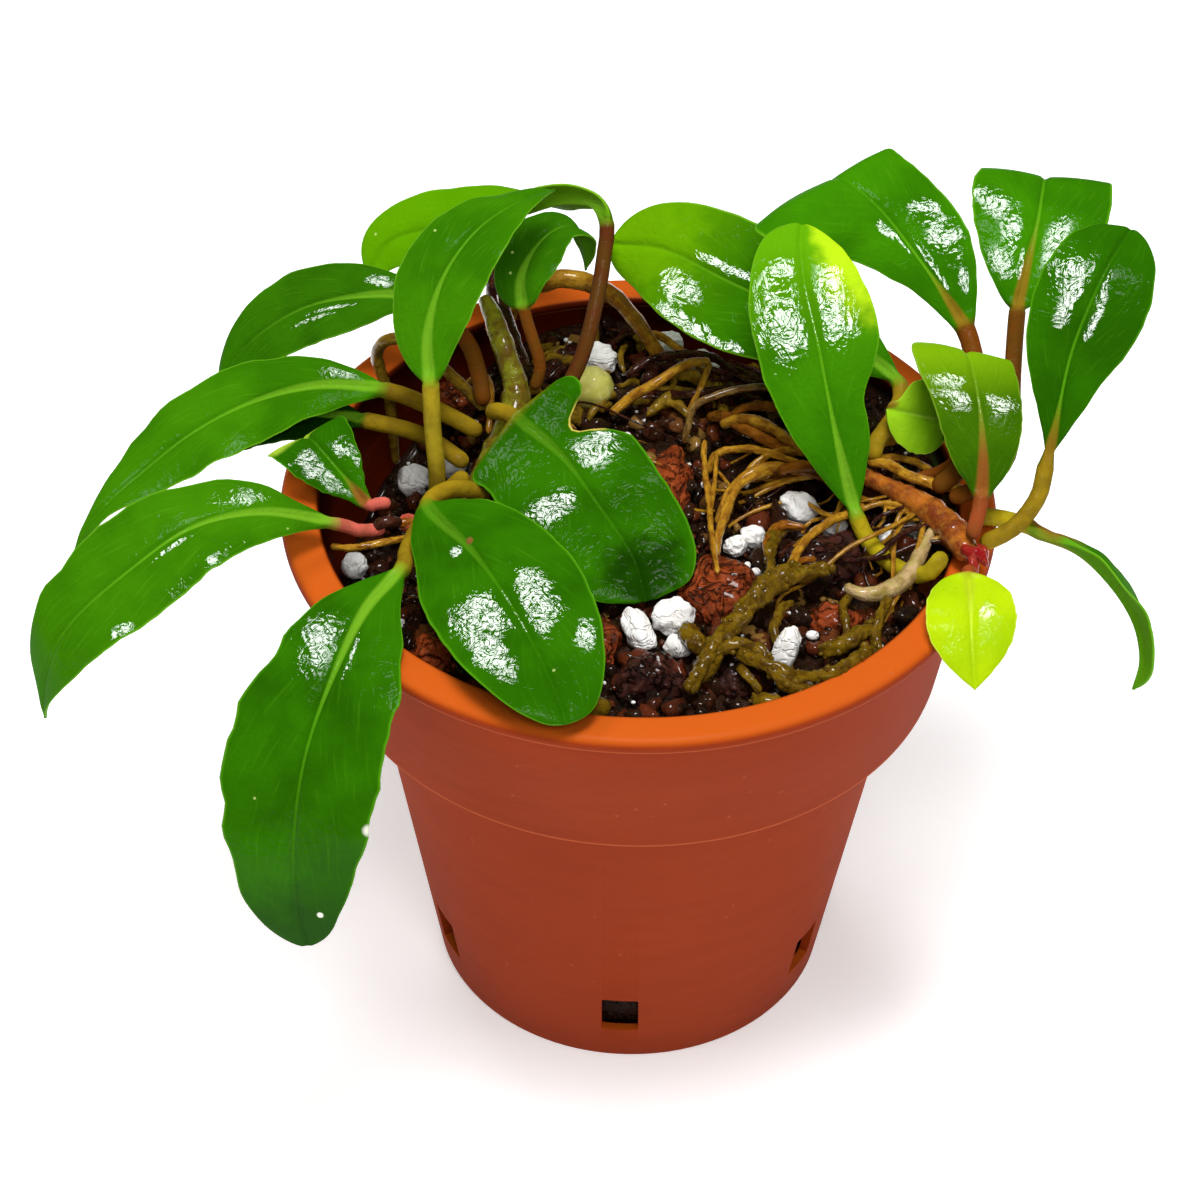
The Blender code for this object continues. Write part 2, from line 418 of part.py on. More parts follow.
def make_leaf(name, leaf):
    radius = leaf.get("stalk_radius", 1.1)
    dense, marks = smooth_route(leaf["stalk"] + leaf["blade"])
    lengths = route_lengths(dense)
    stalk_length = lengths[marks[len(leaf["stalk"])]]
    blade_length = lengths[-1] - stalk_length
    faces = [Vector(f) for f in leaf["face"]]

    blade = []
    for share in leaf_stations(leaf):
        centre, tangent = place_at(dense, lengths, stalk_length + share * blade_length)
        side = across(tangent, blend_list(faces, share))
        normal = side.cross(tangent)
        left, right = half_widths(leaf, share)
        thin = min(share / 0.2, 1.0)
        thickness = radius + (BLADE_HALF_THICKNESS - radius) * thin * (2 - thin)
        keep = radius * (1 - share) ** 8
        least = max(TIP_HALF_WIDTH, keep)
        widths = (max(left, least), max(right, least))
        if share > 0.99:
            thickness = 0.2
        blade.append((centre, side, normal, widths, thickness, min(share / 0.1, 1.0)))

    rings = []
    stalk_steps = max(3, round(stalk_length / 3.6))
    side = blade[0][1]
    for i in reversed(range(stalk_steps)):
        centre, tangent = place_at(dense, lengths, stalk_length * i / stalk_steps)
        side = (side - tangent * side.dot(tangent)).normalized()
        rings.insert(0, leaf_section(centre, side, side.cross(tangent), (radius, radius), radius, leaf, 0.0))
    for centre, side, normal, widths, thickness, open_share in blade:
        rings.append(leaf_section(centre, side, normal, widths, thickness, leaf, open_share))
    colour = leaf.get("colour", GREEN)
    add_object(name, loft(rings), make_material(name, colour, 0.25))


def make_stem(name, stem):
    dense, marks = smooth_route(stem["route"])
    lengths = route_lengths(dense)
    steps = max(4, round(lengths[-1] / 3.0))
    side = None
    rings = []
    for i in range(steps + 1):
        share = i / steps
        centre, tangent = place_at(dense, lengths, share * lengths[-1])
        if side is None:
            side = across(tangent, Vector((0.1, 0.2, 1.0)))
        side = (side - tangent * side.dot(tangent)).normalized()
        normal = side.cross(tangent)
        radius = blend_list(stem["radii"], share)
        if stem["knots"]:
            radius *= 1.0 + 0.06 * math.cos(math.tau * share * stem["knots"])
        if i in (0, steps):
            radius *= 0.7
        rings.append([centre + side * (radius * math.cos(math.tau * k / STEM_SIDES))
                      + normal * (radius * math.sin(math.tau * k / STEM_SIDES)) for k in range(STEM_SIDES)])
    add_object(name, loft(rings), make_material(name, stem["colour"], 0.35))


def stone_shape(name, sizes, roughness, grow=0.0):
    bm = bmesh.new()
    bmesh.ops.create_icosphere(bm, subdivisions=2, radius=1.0)
    seed = Vector((sum(map(ord, name)) * 0.37, 0.0, 0.0))
    for vert in bm.verts:
        direction = vert.co.normalized()
        bump = 1.0 + roughness * noise.noise(direction * 1.9 + seed) * 2.0
        vert.co = Vector([direction[i] * (sizes[i] * bump + grow) for i in range(3)])
    return bm


def put(thing, centre, turn):
    thing.location = Vector(centre) * MM
    thing.rotation_euler = [math.radians(a) for a in turn]
    return thing


def make_stone(name, values):
    # The stone, and a slightly larger copy that makes its seat in the bed
    centre, sizes, turn, roughness, colour = values
    material = make_material(name, colour, 0.7 if colour == PERLITE else 0.5)
    put(add_object(name, stone_shape(name, sizes, roughness), material), centre, turn)
    return put(add_object("seat_" + name, stone_shape(name, sizes, roughness, GAP)), centre, turn)


def inner_radius(height):
    # The pot's inner wall above the ledge of the collar
    share = (height - COLLAR_Z) / (LIP_UNDER_Z - COLLAR_Z)
    return COLLAR_FOOT_RADIUS - WALL + (COLLAR_TOP_RADIUS - COLLAR_FOOT_RADIUS) * share


def body_inner_radius(height):
    # The pot's inner wall below the ledge of the collar
    return FOOT_RADIUS - WALL + (BODY_TOP_RADIUS - FOOT_RADIUS) * height / COLLAR_Z


def make_pot():
    ledge = COLLAR_Z + WALL
    outside = [
        (0.0, 0.0), (FOOT_RADIUS - 0.45, 0.0), (FOOT_RADIUS, 0.35),
        (BODY_TOP_RADIUS, COLLAR_Z), (COLLAR_FOOT_RADIUS - 0.3, COLLAR_Z), (COLLAR_FOOT_RADIUS, COLLAR_Z + 0.4),
        (COLLAR_TOP_RADIUS, LIP_UNDER_Z - 0.3), (LIP_RADIUS - 1.0, LIP_UNDER_Z + 0.3),
        (LIP_RADIUS - 0.2, LIP_UNDER_Z + 0.8), (LIP_RADIUS, LIP_UNDER_Z + 1.4), (LIP_RADIUS - 0.6, LIP_TOP_Z - 0.4),
        (LIP_RADIUS - 1.9, LIP_TOP_Z), (LIP_INNER_RADIUS + 0.8, LIP_TOP_Z), (LIP_INNER_RADIUS + 0.1, LIP_TOP_Z - 0.4),
    ]
    inside = [
        (LIP_INNER_RADIUS, LIP_TOP_Z - 1.0), (LIP_INNER_RADIUS + 0.3, LIP_UNDER_Z + 1.0),
        (inner_radius(LIP_UNDER_Z), LIP_UNDER_Z), (inner_radius(ledge + 0.4), ledge + 0.4),
        (inner_radius(ledge) - 0.5, ledge), (body_inner_radius(COLLAR_Z) + 0.5, ledge),
        (body_inner_radius(COLLAR_Z), ledge - 0.5), (body_inner_radius(FLOOR + 0.9), FLOOR + 0.9),
        (body_inner_radius(FLOOR) - 0.9, FLOOR), (0.0, FLOOR),
    ]
    pot = add_object("pot", spin_profile(outside + inside), make_material("pot", TERRACOTTA, 0.5))
    pot.data.set_sharp_from_angle(angle=math.radians(50))
    for index in range(WINDOW_COUNT):
        add_window_cutter(pot, index)


def add_window_cutter(pot, index):
    bm = bmesh.new()
    radius = body_inner_radius(WINDOW_Z) + WALL / 2
    turn = math.radians(WINDOW_OFFSET_DEG + index * 360 / WINDOW_COUNT)
    bmesh.ops.create_cube(bm, size=1.0)
    bmesh.ops.scale(bm, vec=(WINDOW_WIDTH, 4 * WALL, WINDOW_HEIGHT), verts=bm.verts)
    bmesh.ops.translate(bm, vec=(0, -radius, WINDOW_Z), verts=bm.verts)
    bmesh.ops.rotate(bm, cent=(0, 0, 0), matrix=Matrix.Rotation(turn, 3, "Z"), verts=bm.verts)
    cutter = add_object("window_cutter_%d" % (index + 1), bm)
    add_cut(pot, cutter)


def add_cut(thing, cutter):
    cutter.hide_render = True
    cutter.display_type = "WIRE"
    cut = thing.modifiers.new(cutter.name, "BOOLEAN")
    cut.operation = "DIFFERENCE"
    cut.solver = "EXACT"
    cut.object = cutter


def bed_height(x, y):
    level = BED_LEVEL + BED_LUMP * noise.noise(Vector((x, y, 0)) / 5.5)
    for cx, cy, rx, ry, depth in BED_DIPS:
        level -= depth * math.exp(-((x - cx) / rx) ** 2 - ((y - cy) / ry) ** 2)
    return max(level, COLLAR_Z + WALL + 1.0)


def make_bed():
    angles = [math.tau * k / BED_SEGMENTS for k in range(BED_SEGMENTS)]

    def ring(radius, height):
        return [Vector((radius * math.cos(a), radius * math.sin(a), height)) for a in angles]

    low = FLOOR + BED_FLOOR_GAP
    ledge = COLLAR_Z + WALL + BED_FLOOR_GAP
    sections = [
        ring(body_inner_radius(low) - 2.2, low), ring(body_inner_radius(low + 1.5) - GAP, low + 1.5),
        ring(body_inner_radius(COLLAR_Z) - GAP, COLLAR_Z + 0.4), ring(body_inner_radius(COLLAR_Z) + 0.2, ledge),
        ring(inner_radius(ledge) - 0.9, ledge), ring(inner_radius(ledge + 0.4) - GAP, ledge + 0.4),
    ]
    edge = []
    for angle in angles:
        outward = Vector((math.cos(angle), math.sin(angle), 0))
        height = bed_height(*(outward * 39.5).xy)
        edge.append(outward * (inner_radius(height) - GAP) + Vector((0, 0, height)))
    sections.append(edge)
    for share in BED_RINGS:
        spots = [Vector((v.x * share, v.y * share, 0)) for v in edge]
        sections.append([Vector((v.x, v.y, bed_height(v.x, v.y))) for v in spots])
    bm = loft(sections)
    top = max(bm.faces, key=lambda face: (len(face.verts), face.calc_center_median().z))
    bmesh.ops.poke(bm, faces=[top])
    return add_object("substrate_bed", bm, make_material("substrate_bed", SOIL, 0.6))


def main():
    clear_scene()
    make_pot()
    bed = make_bed()
    for name, values in STONES.items():
        add_cut(bed, make_stone(name, values))
    for name, stem in STEMS.items():
        make_stem(name, stem)
    for name, leaf in LEAVES.items():
        make_leaf(name, leaf)


main()
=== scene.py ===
# Bucephalandra in a moulded nursery pot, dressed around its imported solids.
# Shapes are worked out in millimetres and scaled to metres when a piece is finished.
import math
import random

import bmesh
import bpy
from mathutils import Matrix, Vector, noise


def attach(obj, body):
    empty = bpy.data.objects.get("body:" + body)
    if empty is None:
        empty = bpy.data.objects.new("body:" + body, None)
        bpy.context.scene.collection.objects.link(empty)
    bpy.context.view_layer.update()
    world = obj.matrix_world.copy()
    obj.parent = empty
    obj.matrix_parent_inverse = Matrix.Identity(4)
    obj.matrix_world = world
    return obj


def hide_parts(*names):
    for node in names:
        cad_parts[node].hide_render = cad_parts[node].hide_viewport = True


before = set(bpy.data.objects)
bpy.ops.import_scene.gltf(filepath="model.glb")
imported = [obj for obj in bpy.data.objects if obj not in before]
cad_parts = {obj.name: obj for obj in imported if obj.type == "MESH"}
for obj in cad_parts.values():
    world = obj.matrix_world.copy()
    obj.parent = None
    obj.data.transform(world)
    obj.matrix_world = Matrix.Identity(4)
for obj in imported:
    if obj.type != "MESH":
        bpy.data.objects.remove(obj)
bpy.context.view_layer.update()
mm = 0.001
print("frame loaded:", len(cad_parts), "nodes")


def tone(red, green, blue):
    # a colour given 0 to 255, as the linear colour that the shaders take
    parts = [value / 255 for value in (red, green, blue)]
    linear = [part / 12.92 if part <= 0.04045 else ((part + 0.055) / 1.055) ** 2.4 for part in parts]
    return (*linear, 1.0)


# camera: in front of the pot and above it, looking down on the leaves
cameraSettings = {
    "place": (0.0, -0.39369, 0.41399),
    "right": (0.99969, 0.02218, 0.01135),
    "up": (-0.02328, 0.66925, 0.74268),
    "back": (0.00887, -0.74271, 0.66956),
    "lens": 122.0,
    "sensor": 36.0,
}


def placeCamera(settings):
    lensData = bpy.data.cameras.new("photoCamera")
    lensData.lens = settings["lens"]
    lensData.sensor_width = settings["sensor"]
    lensData.clip_start = 0.02
    camera = bpy.data.objects.new("photoCamera", lensData)
    turn = Matrix((settings["right"], settings["up"], settings["back"])).transposed()
    camera.matrix_world = Matrix.Translation(settings["place"]) @ turn.to_4x4()
    bpy.context.scene.collection.objects.link(camera)
    bpy.context.scene.camera = camera


placeCamera(cameraSettings)

# soft boxes: the small one overhead makes the wet highlights, the others only fill in
lightSettings = {
    "glintBox": {"place": (0.02, -0.12, 0.95), "size": (0.26, 0.22), "power": 3.2, "mirrored": True},
    "topBox": {"place": (0.02, -0.12, 0.95), "size": (0.4, 0.36), "power": 4.8, "mirrored": False},
    "frontBox": {"place": (0.12, -0.72, 0.86), "size": (0.4, 0.3), "power": 3.6, "mirrored": False},
    "backBox": {"place": (-0.28, 0.58, 0.9), "size": (0.4, 0.3), "power": 3.0, "mirrored": False},
    "leftBox": {"place": (-0.95, -0.3, 0.45), "size": (0.3, 0.7), "power": 1.4, "mirrored": False},
    "rightBox": {"place": (0.95, -0.35, 0.4), "size": (0.3, 0.7), "power": 1.2, "mirrored": False},
}
aimPoint = Vector((0.0, 0.0, 0.06))


def placeLight(name, settings):
    lamp = bpy.data.lights.new(name, "AREA")
    lamp.shape = "RECTANGLE"
    lamp.size, lamp.size_y = settings["size"]
    lamp.energy = settings["power"]
    holder = bpy.data.objects.new(name, lamp)
    place = Vector(settings["place"])
    turn = (place - aimPoint).to_track_quat("Z", "Y").to_matrix().to_4x4()
    holder.matrix_world = Matrix.Translation(place) @ turn
    holder.visible_glossy = settings["mirrored"]
    bpy.context.scene.collection.objects.link(holder)


for lightName, lightValues in lightSettings.items():
    placeLight(lightName, lightValues)

studio = bpy.data.worlds.new("studio")
studio.use_nodes = True
studioLight = studio.node_tree.nodes["Background"]
studioLight.inputs["Color"].default_value = (1.0, 1.0, 1.0, 1.0)
studioLight.inputs["Strength"].default_value = 0.07
studio.cycles_visibility.glossy = False
bpy.context.scene.world = studio
bpy.context.scene.view_settings.view_transform = "Standard"
print("camera and lights placed")


# small helpers for the materials
def startMaterial(name):
    material = bpy.data.materials.new(name)
    material.use_nodes = True
    return material, material.node_tree, material.node_tree.nodes["Principled BSDF"]


def addNode(tree, kind, settings, inputs):
    made = tree.nodes.new(kind)
    for key, value in settings.items():
        setattr(made, key, value)
    for key, value in inputs.items():
        if isinstance(value, bpy.types.NodeSocket):
            tree.links.new(value, made.inputs[key])
        else:
            made.inputs[key].default_value = value
    return made


def calc(tree, operation, first, second=0.0, third=0.0):
    inputs = {0: first, 1: second, 2: third}
    return addNode(tree, "ShaderNodeMath", {"operation": operation}, inputs).outputs[0]


def mixTones(tree, share, first, second):
    # the colour goes from first to second as share goes from 0 to 1
    mixer = addNode(tree, "ShaderNodeMix", {"data_type": "RGBA"}, {0: share, 6: first, 7: second})
    return mixer.outputs[2]


def ramp(tree, value, low, high, reach=1.0):
    # 0 below low, reach above high, and a smooth climb between
    limits = {"Value": value, "From Min": low, "From Max": high, "To Min": 0.0, "To Max": reach}
    kind = {"interpolation_type": "SMOOTHSTEP"}
    return addNode(tree, "ShaderNodeMapRange", kind, limits).outputs["Result"]


def vectorCalc(tree, operation, first, second=(0.0, 0.0, 0.0)):
    return addNode(tree, "ShaderNodeVectorMath", {"operation": operation}, {0: first, 1: second}).outputs


def setInputs(shader, values):
    # values that are the same all over the surface
    for key, value in values.items():
        shader.inputs[key].default_value = value


def objectPlace(tree):
    return addNode(tree, "ShaderNodeTexCoord", {}, {}).outputs["Object"]


def grain(tree, place, scale, detail=3.0, rough=0.55, twist=0.0):
    values = {"Vector": place, "Scale": scale, "Detail": detail, "Roughness": rough, "Distortion": twist}
    return addNode(tree, "ShaderNodeTexNoise", {}, values).outputs["Fac"]


def cells(tree, place, scale, feature="F1"):
    return addNode(tree, "ShaderNodeTexVoronoi", {"feature": feature}, {"Vector": place, "Scale": scale})


def attribute(tree, name):
    return addNode(tree, "ShaderNodeAttribute", {"attribute_name": name}, {}).outputs["Fac"]


def relief(tree, height, depth, strength=1.0, under=None):
    inputs = {"Height": height, "Distance": depth, "Strength": strength}
    if under is not None:
        inputs["Normal"] = under
    return addNode(tree, "ShaderNodeBump", {}, inputs).outputs["Normal"]


# small helpers for the shapes
def nodeName(name):
    # the solid that a piece stands for has the piece's name in small letters: leafFront, leaf_front
    return "".join("_" + letter.lower() if letter.isupper() else letter for letter in name)


def finishPiece(name, skin, material, slot, *nodes):
    bmesh.ops.recalc_face_normals(skin, faces=skin.faces)
    bmesh.ops.scale(skin, vec=(mm, mm, mm), verts=skin.verts)
    mesh = bpy.data.meshes.new(name)
    skin.to_mesh(mesh)
    skin.free()
    mesh.shade_smooth()
    mesh.materials.append(material)
    piece = bpy.data.objects.new(name, mesh)
    bpy.context.scene.collection.objects.link(piece)
    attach(piece, "root")
    if nodes:
        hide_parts(*nodes)
    return piece


def loft(skin, sections, marks=None):
    # one closed skin through rings of places: a capped circle, extruded from ring to ring;
    # marks gives, for each ring and place, the values of the named attributes
    order = skin.verts.layers.int.get("order") or skin.verts.layers.int.new("order")
    layers = {}
    for key in (marks or {}):
        layers[key] = skin.verts.layers.float.get(key) or skin.verts.layers.float.new(key)
    ring = bmesh.ops.create_circle(skin, cap_ends=True, segments=len(sections[0]), radius=1.0)["verts"]
    for index, vert in enumerate(ring):
        vert[order] = index
    fresh = set(ring)
    around = {edge for vert in ring for edge in vert.link_edges}
    edges = [edge for edge in around if set(edge.verts) <= fresh]
    for step, section in enumerate(sections):
        if step:
            grown = bmesh.ops.extrude_edge_only(skin, edges=edges)["geom"]
            fresh = {item for item in grown if isinstance(item, bmesh.types.BMVert)}
            edges = [item for item in grown if isinstance(item, bmesh.types.BMEdge)]
            edges = [edge for edge in edges if set(edge.verts) <= fresh]
        for vert in fresh:
            vert.co = section[vert[order]]
            for key, layer in layers.items():
                value = marks[key][step]
                vert[layer] = value[vert[order]] if isinstance(value, list) else value
    bmesh.ops.contextual_create(skin, geom=edges)


def smoothRoute(points, steps=14):
    # a smooth curve through the points, as close places, and where each given point lies in it
    spots = [Vector(point) for point in points]
    ends = [2 * spots[0] - spots[1]] + spots + [2 * spots[-1] - spots[-2]]
    dense, stops = [spots[0]], [0]
    for before, start, end, after in zip(ends, ends[1:], ends[2:], ends[3:]):
        for step in range(1, steps + 1):
            t = step / steps
            square = 2 * before - 5 * start + 4 * end - after
            cube = 3 * start - before - 3 * end + after
            dense.append(0.5 * (2 * start + (end - before) * t + square * t * t + cube * t ** 3))
        stops.append(len(dense) - 1)
    return dense, stops


def routeLengths(dense):
    lengths = [0.0]
    for start, end in zip(dense, dense[1:]):
        lengths.append(lengths[-1] + (end - start).length)
    return lengths


def placeAt(dense, lengths, distance):
    # the place at that distance along the route, and the direction there, smoothed over a short stretch
    reach = 0.5

    def spot(where):
        where = min(max(where, 0.0), lengths[-1])
        for index in range(1, len(dense)):
            if where <= lengths[index] or index == len(dense) - 1:
                share = (where - lengths[index - 1]) / max(lengths[index] - lengths[index - 1], 1e-9)
                return dense[index - 1].lerp(dense[index], share)

    return spot(distance), (spot(distance + reach) - spot(distance - reach)).normalized()


def blendList(values, share):
    spot = share * (len(values) - 1)
    index = min(int(spot), len(values) - 2)
    low, high = values[index], values[index + 1]
    return low.lerp(high, spot - index) if isinstance(low, Vector) else low + (high - low) * (spot - index)


def ease(value):
    value = min(max(value, 0.0), 1.0)
    return value * value * (3 - 2 * value)


# leaves: the finish of a blade, from its own tones
def bladeTones(deep, main, light, tip, tipShare):
    return {
        "deep": tone(*deep), "main": tone(*main), "light": tone(*light), "tip": tone(*tip),
        "tipShare": tipShare,
    }


darkBlade = bladeTones((32, 82, 2), (44, 104, 3), (84, 150, 20), (40, 98, 3), 0.4)
deepBlade = bladeTones((36, 84, 3), (48, 104, 5), (96, 154, 30), (50, 112, 5), 0.4)
freshBlade = bladeTones((44, 100, 3), (57, 118, 5), (104, 166, 30), (58, 120, 5), 0.5)
topBlade = bladeTones((42, 102, 3), (56, 124, 4), (96, 160, 24), (54, 122, 4), 0.4)
# painted shade: a darker copy of the blade tones, for the leaf that lies under the others
shadedBlade = bladeTones((11, 38, 1), (15, 48, 1), (46, 88, 10), (18, 52, 2), 0.3)
biteBlade = bladeTones((104, 154, 14), (132, 180, 26), (176, 210, 70), (148, 194, 30), 0.7)
backBlade = bladeTones((64, 122, 2), (80, 140, 2), (120, 174, 32), (88, 148, 3), 0.9)
paleBlade = bladeTones((36, 92, 2), (48, 110, 3), (116, 172, 34), (88, 142, 4), 0.9)
yellowTipBlade = bladeTones((42, 104, 3), (56, 122, 5), (100, 164, 24), (104, 168, 10), 0.7)
youngBlade = bladeTones((44, 84, 3), (62, 102, 5), (120, 158, 40), (122, 168, 12), 0.95)
limeBlade = bladeTones((148, 184, 8), (170, 200, 10), (200, 222, 70), (158, 190, 10), 0.4)
oliveStalk, paleStalk = tone(150, 124, 22), tone(166, 146, 32)
brownStalk, darkStalk = tone(112, 58, 14), tone(88, 44, 20)
pinkStalk, redStalk, limeStalk = tone(222, 104, 92), tone(150, 66, 34), tone(172, 154, 24)
paleRib, limeRib = tone(112, 164, 34), tone(168, 186, 30)
brownRib, redRib = tone(134, 104, 26), tone(140, 80, 34)


def patchShare(tree, ways, patch):
    # 1 inside an oval patch of the blade, 0 outside, with a broken edge; the patch is given by
    # its shares along and across the blade and its reach each way
    along, across, wobble = ways
    alongGap = calc(tree, "DIVIDE", calc(tree, "SUBTRACT", along, patch[0]), patch[2])
    acrossGap = calc(tree, "DIVIDE", calc(tree, "SUBTRACT", across, patch[1]), patch[3])
    gap = calc(tree, "ADD", calc(tree, "POWER", alongGap, 2.0), calc(tree, "POWER", acrossGap, 2.0))
    return ramp(tree, calc(tree, "ADD", gap, wobble), 2.6, 0.2)


def leafMaterial(look):
    tones = look["bladeTones"]
    material, tree, shader = startMaterial(look["name"] + "Finish")
    place = objectPlace(tree)
    sideways = attribute(tree, "sideways")
    along = attribute(tree, "along")
    across = attribute(tree, "across")
    half = calc(tree, "ABSOLUTE", across)
    broad = grain(tree, place, 90.0, 3.0)
    bladeWays = (along, across, calc(tree, "MULTIPLY_ADD", grain(tree, place, 380.0, 3.0), 3.0, -1.5))
    # faint veins leave the midrib and lean towards the tip
    lean = calc(tree, "SUBTRACT", calc(tree, "MULTIPLY", half, 5.0), calc(tree, "MULTIPLY", along, 9.0))
    veinWays = {"X": lean, "Y": calc(tree, "MULTIPLY", half, 1.2)}
    veinPlace = addNode(tree, "ShaderNodeCombineXYZ", {}, veinWays)
    veins = grain(tree, veinPlace.outputs[0], 2.6, 3.0, 0.6)

    body = mixTones(tree, ramp(tree, broad, 0.32, 0.68), tones["deep"], tones["main"])
    body = mixTones(tree, ramp(tree, veins, 0.52, 0.78, 0.22), body, tones["light"])
    body = mixTones(tree, ramp(tree, along, 0.45, 1.0, tones["tipShare"]), body, tones["tip"])
    body = mixTones(tree, ramp(tree, half, 0.95, 1.0, 0.8), body, tones["light"])
    # colour patches of the blade: most are its own colour; a few are painted shade, and one is a painted
    # sheen
    for *patch, patchTone, force in look["tintsShadeAndSheen"]:
        share = calc(tree, "MULTIPLY", patchShare(tree, bladeWays, patch), force)
        body = mixTones(tree, share, body, patchTone)
    # tiny pale specks
    speck = cells(tree, place, 420.0)
    rare = calc(tree, "GREATER_THAN", speck.outputs["Color"], 0.86)
    dots = calc(tree, "MULTIPLY", rare, ramp(tree, speck.outputs["Distance"], 0.11, 0.05, 0.6))
    body = mixTones(tree, dots, body, tone(190, 210, 120))
    # the midrib grows out of the stalk, then is a thin line that fades towards the tip
    ribFade = ramp(tree, along, look["ribReach"] * 0.3, look["ribReach"])
    ribTone = mixTones(tree, ribFade, look["ribTone"], tones["light"])
    ribWidth = calc(tree, "ADD", 0.16, ramp(tree, along, look["ribReach"], -0.02, 0.6))
    ribEdge = calc(tree, "DIVIDE", calc(tree, "ABSOLUTE", sideways), ribWidth)
    ribForce = ramp(tree, along, 1.0, 0.1, look["ribForce"])
    ribShare = calc(tree, "MULTIPLY", ramp(tree, ribEdge, 1.5, 0.6), ribForce)
    body = mixTones(tree, ribShare, body, ribTone)
    body = mixTones(tree, calc(tree, "MULTIPLY", attribute(tree, "under"), 0.4), body, tones["light"])
    if "scar" in look:
        # the dry pale edge that a bite leaves
        low, high, edge = look["scar"]
        begins = ramp(tree, along, low - 0.02, low + 0.01)
        window = calc(tree, "MULTIPLY", begins, ramp(tree, along, high + 0.02, high - 0.01))
        toEdge = ramp(tree, calc(tree, "MULTIPLY", across, edge), 0.88, 0.97)
        body = mixTones(tree, calc(tree, "MULTIPLY", window, toEdge), body, tone(206, 186, 84))
    for spot, reach, shadeTone in look["spots"]:
        # a small scar or speck, at a place in millimetres
        gap = vectorCalc(tree, "DISTANCE", place, [part * mm for part in spot])["Value"]
        body = mixTones(tree, ramp(tree, gap, reach * mm, reach * 0.6 * mm), body, shadeTone)
    stalkShare = ramp(tree, grain(tree, place, 260.0, 4.0), 0.3, 0.7, 0.6)
    stalk = mixTones(tree, stalkShare, look["stalkTone"], look["stalkShade"])
    shade = mixTones(tree, ramp(tree, along, 0.04, -0.02), body, stalk)
    tree.links.new(shade, shader.inputs["Base Color"])

    # a fine crackle breaks the edges of the wet highlights, over slow waves of the blade
    crackle = grain(tree, place, 620.0, 2.0, 0.5, 1.6)
    pocks = cells(tree, place, 1500.0, "SMOOTH_F1").outputs["Distance"]
    slow = grain(tree, place, 120.0, 1.0)

    def wetSkin(start):
        skin = relief(tree, slow, 0.0004, 1.0, start)
        skin = relief(tree, veins, 0.00004, 1.0, skin)
        skin = relief(tree, pocks, 0.00004, 1.0, skin)
        return relief(tree, crackle, 0.00012, 1.0, skin)

    # where the water film lies thick it leans a little, towards the light in the photo
    facing = addNode(tree, "ShaderNodeNewGeometry", {}, {}).outputs["Normal"]
    leaning, film = facing, 0.0
    for *patch, lean in look["wet"]:
        share = patchShare(tree, bladeWays, patch)
        leant = vectorCalc(tree, "ADD", facing, lean)[0]
        mixed = {0: share, 4: leaning, 5: leant}
        leaning = addNode(tree, "ShaderNodeMix", {"data_type": "VECTOR"}, mixed).outputs[1]
        film = calc(tree, "MAXIMUM", film, share)
    level = vectorCalc(tree, "NORMALIZE", leaning)[0]
    tree.links.new(wetSkin(facing), shader.inputs["Normal"])
    tree.links.new(wetSkin(level), shader.inputs["Coat Normal"])
    tree.links.new(calc(tree, "MULTIPLY_ADD", film, 0.93, 0.07), shader.inputs["Coat Weight"])
    tree.links.new(calc(tree, "ADD", 0.3, ramp(tree, crackle, 0.35, 0.65, 0.2)), shader.inputs["Roughness"])
    setInputs(shader, {"Coat Roughness": 0.04, "Coat IOR": 1.65, "Specular IOR Level": 0.0})
    return material


# places across a blade, from its right edge to the midrib, close together at the rib's groove
acrossPlaces = [1.0, 0.985, 0.95, 0.88, 0.78, 0.66, 0.54, 0.42, 0.31, 0.21, 0.13, 0.07, 0.03, 0.0]
bladeRings = 60
edgeThickness, innerThickness, grooveDepth, grooveWidth = 0.06, 0.24, 0.32, 0.42


def smoothRow(rows, share, column):
    # a smooth value between the rows of an outline
    for index in range(len(rows) - 1):
        start, end = rows[index], rows[index + 1]
        if share <= end[0] or index == len(rows) - 2:
            before, after = rows[max(index - 1, 0)], rows[min(index + 2, len(rows) - 1)]
            span = end[0] - start[0]
            t = (share - start[0]) / span
            slopeIn = (end[column] - before[column]) / max(end[0] - before[0], 1e-6) * span
            slopeOut = (after[column] - start[column]) / max(after[0] - start[0], 1e-6) * span
            return ((2 * t ** 3 - 3 * t * t + 1) * start[column] + (t ** 3 - 2 * t * t + t) * slopeIn
                    + (3 * t * t - 2 * t ** 3) * end[column] + (t ** 3 - t * t) * slopeOut)


def halfWidths(look, share):
    if "outline" in look:
        return [smoothRow(look["outline"], share, 1), smoothRow(look["outline"], share, 2)]
    power = math.log(0.5) / math.log(look["widest"])
    base, tip = look["ends"]
    swell = math.sin(math.pi * min(share, 0.9999) ** power)
    half = look["width"] / 2 * max(swell, 0.0) ** (base + (tip - base) * share)
    widths = [half, half]
    if "bite" in look:
        where, side, depth, reach = look["bite"]
        widths[side] -= depth * math.exp(-((share - where) / reach) ** 2)
    return widths


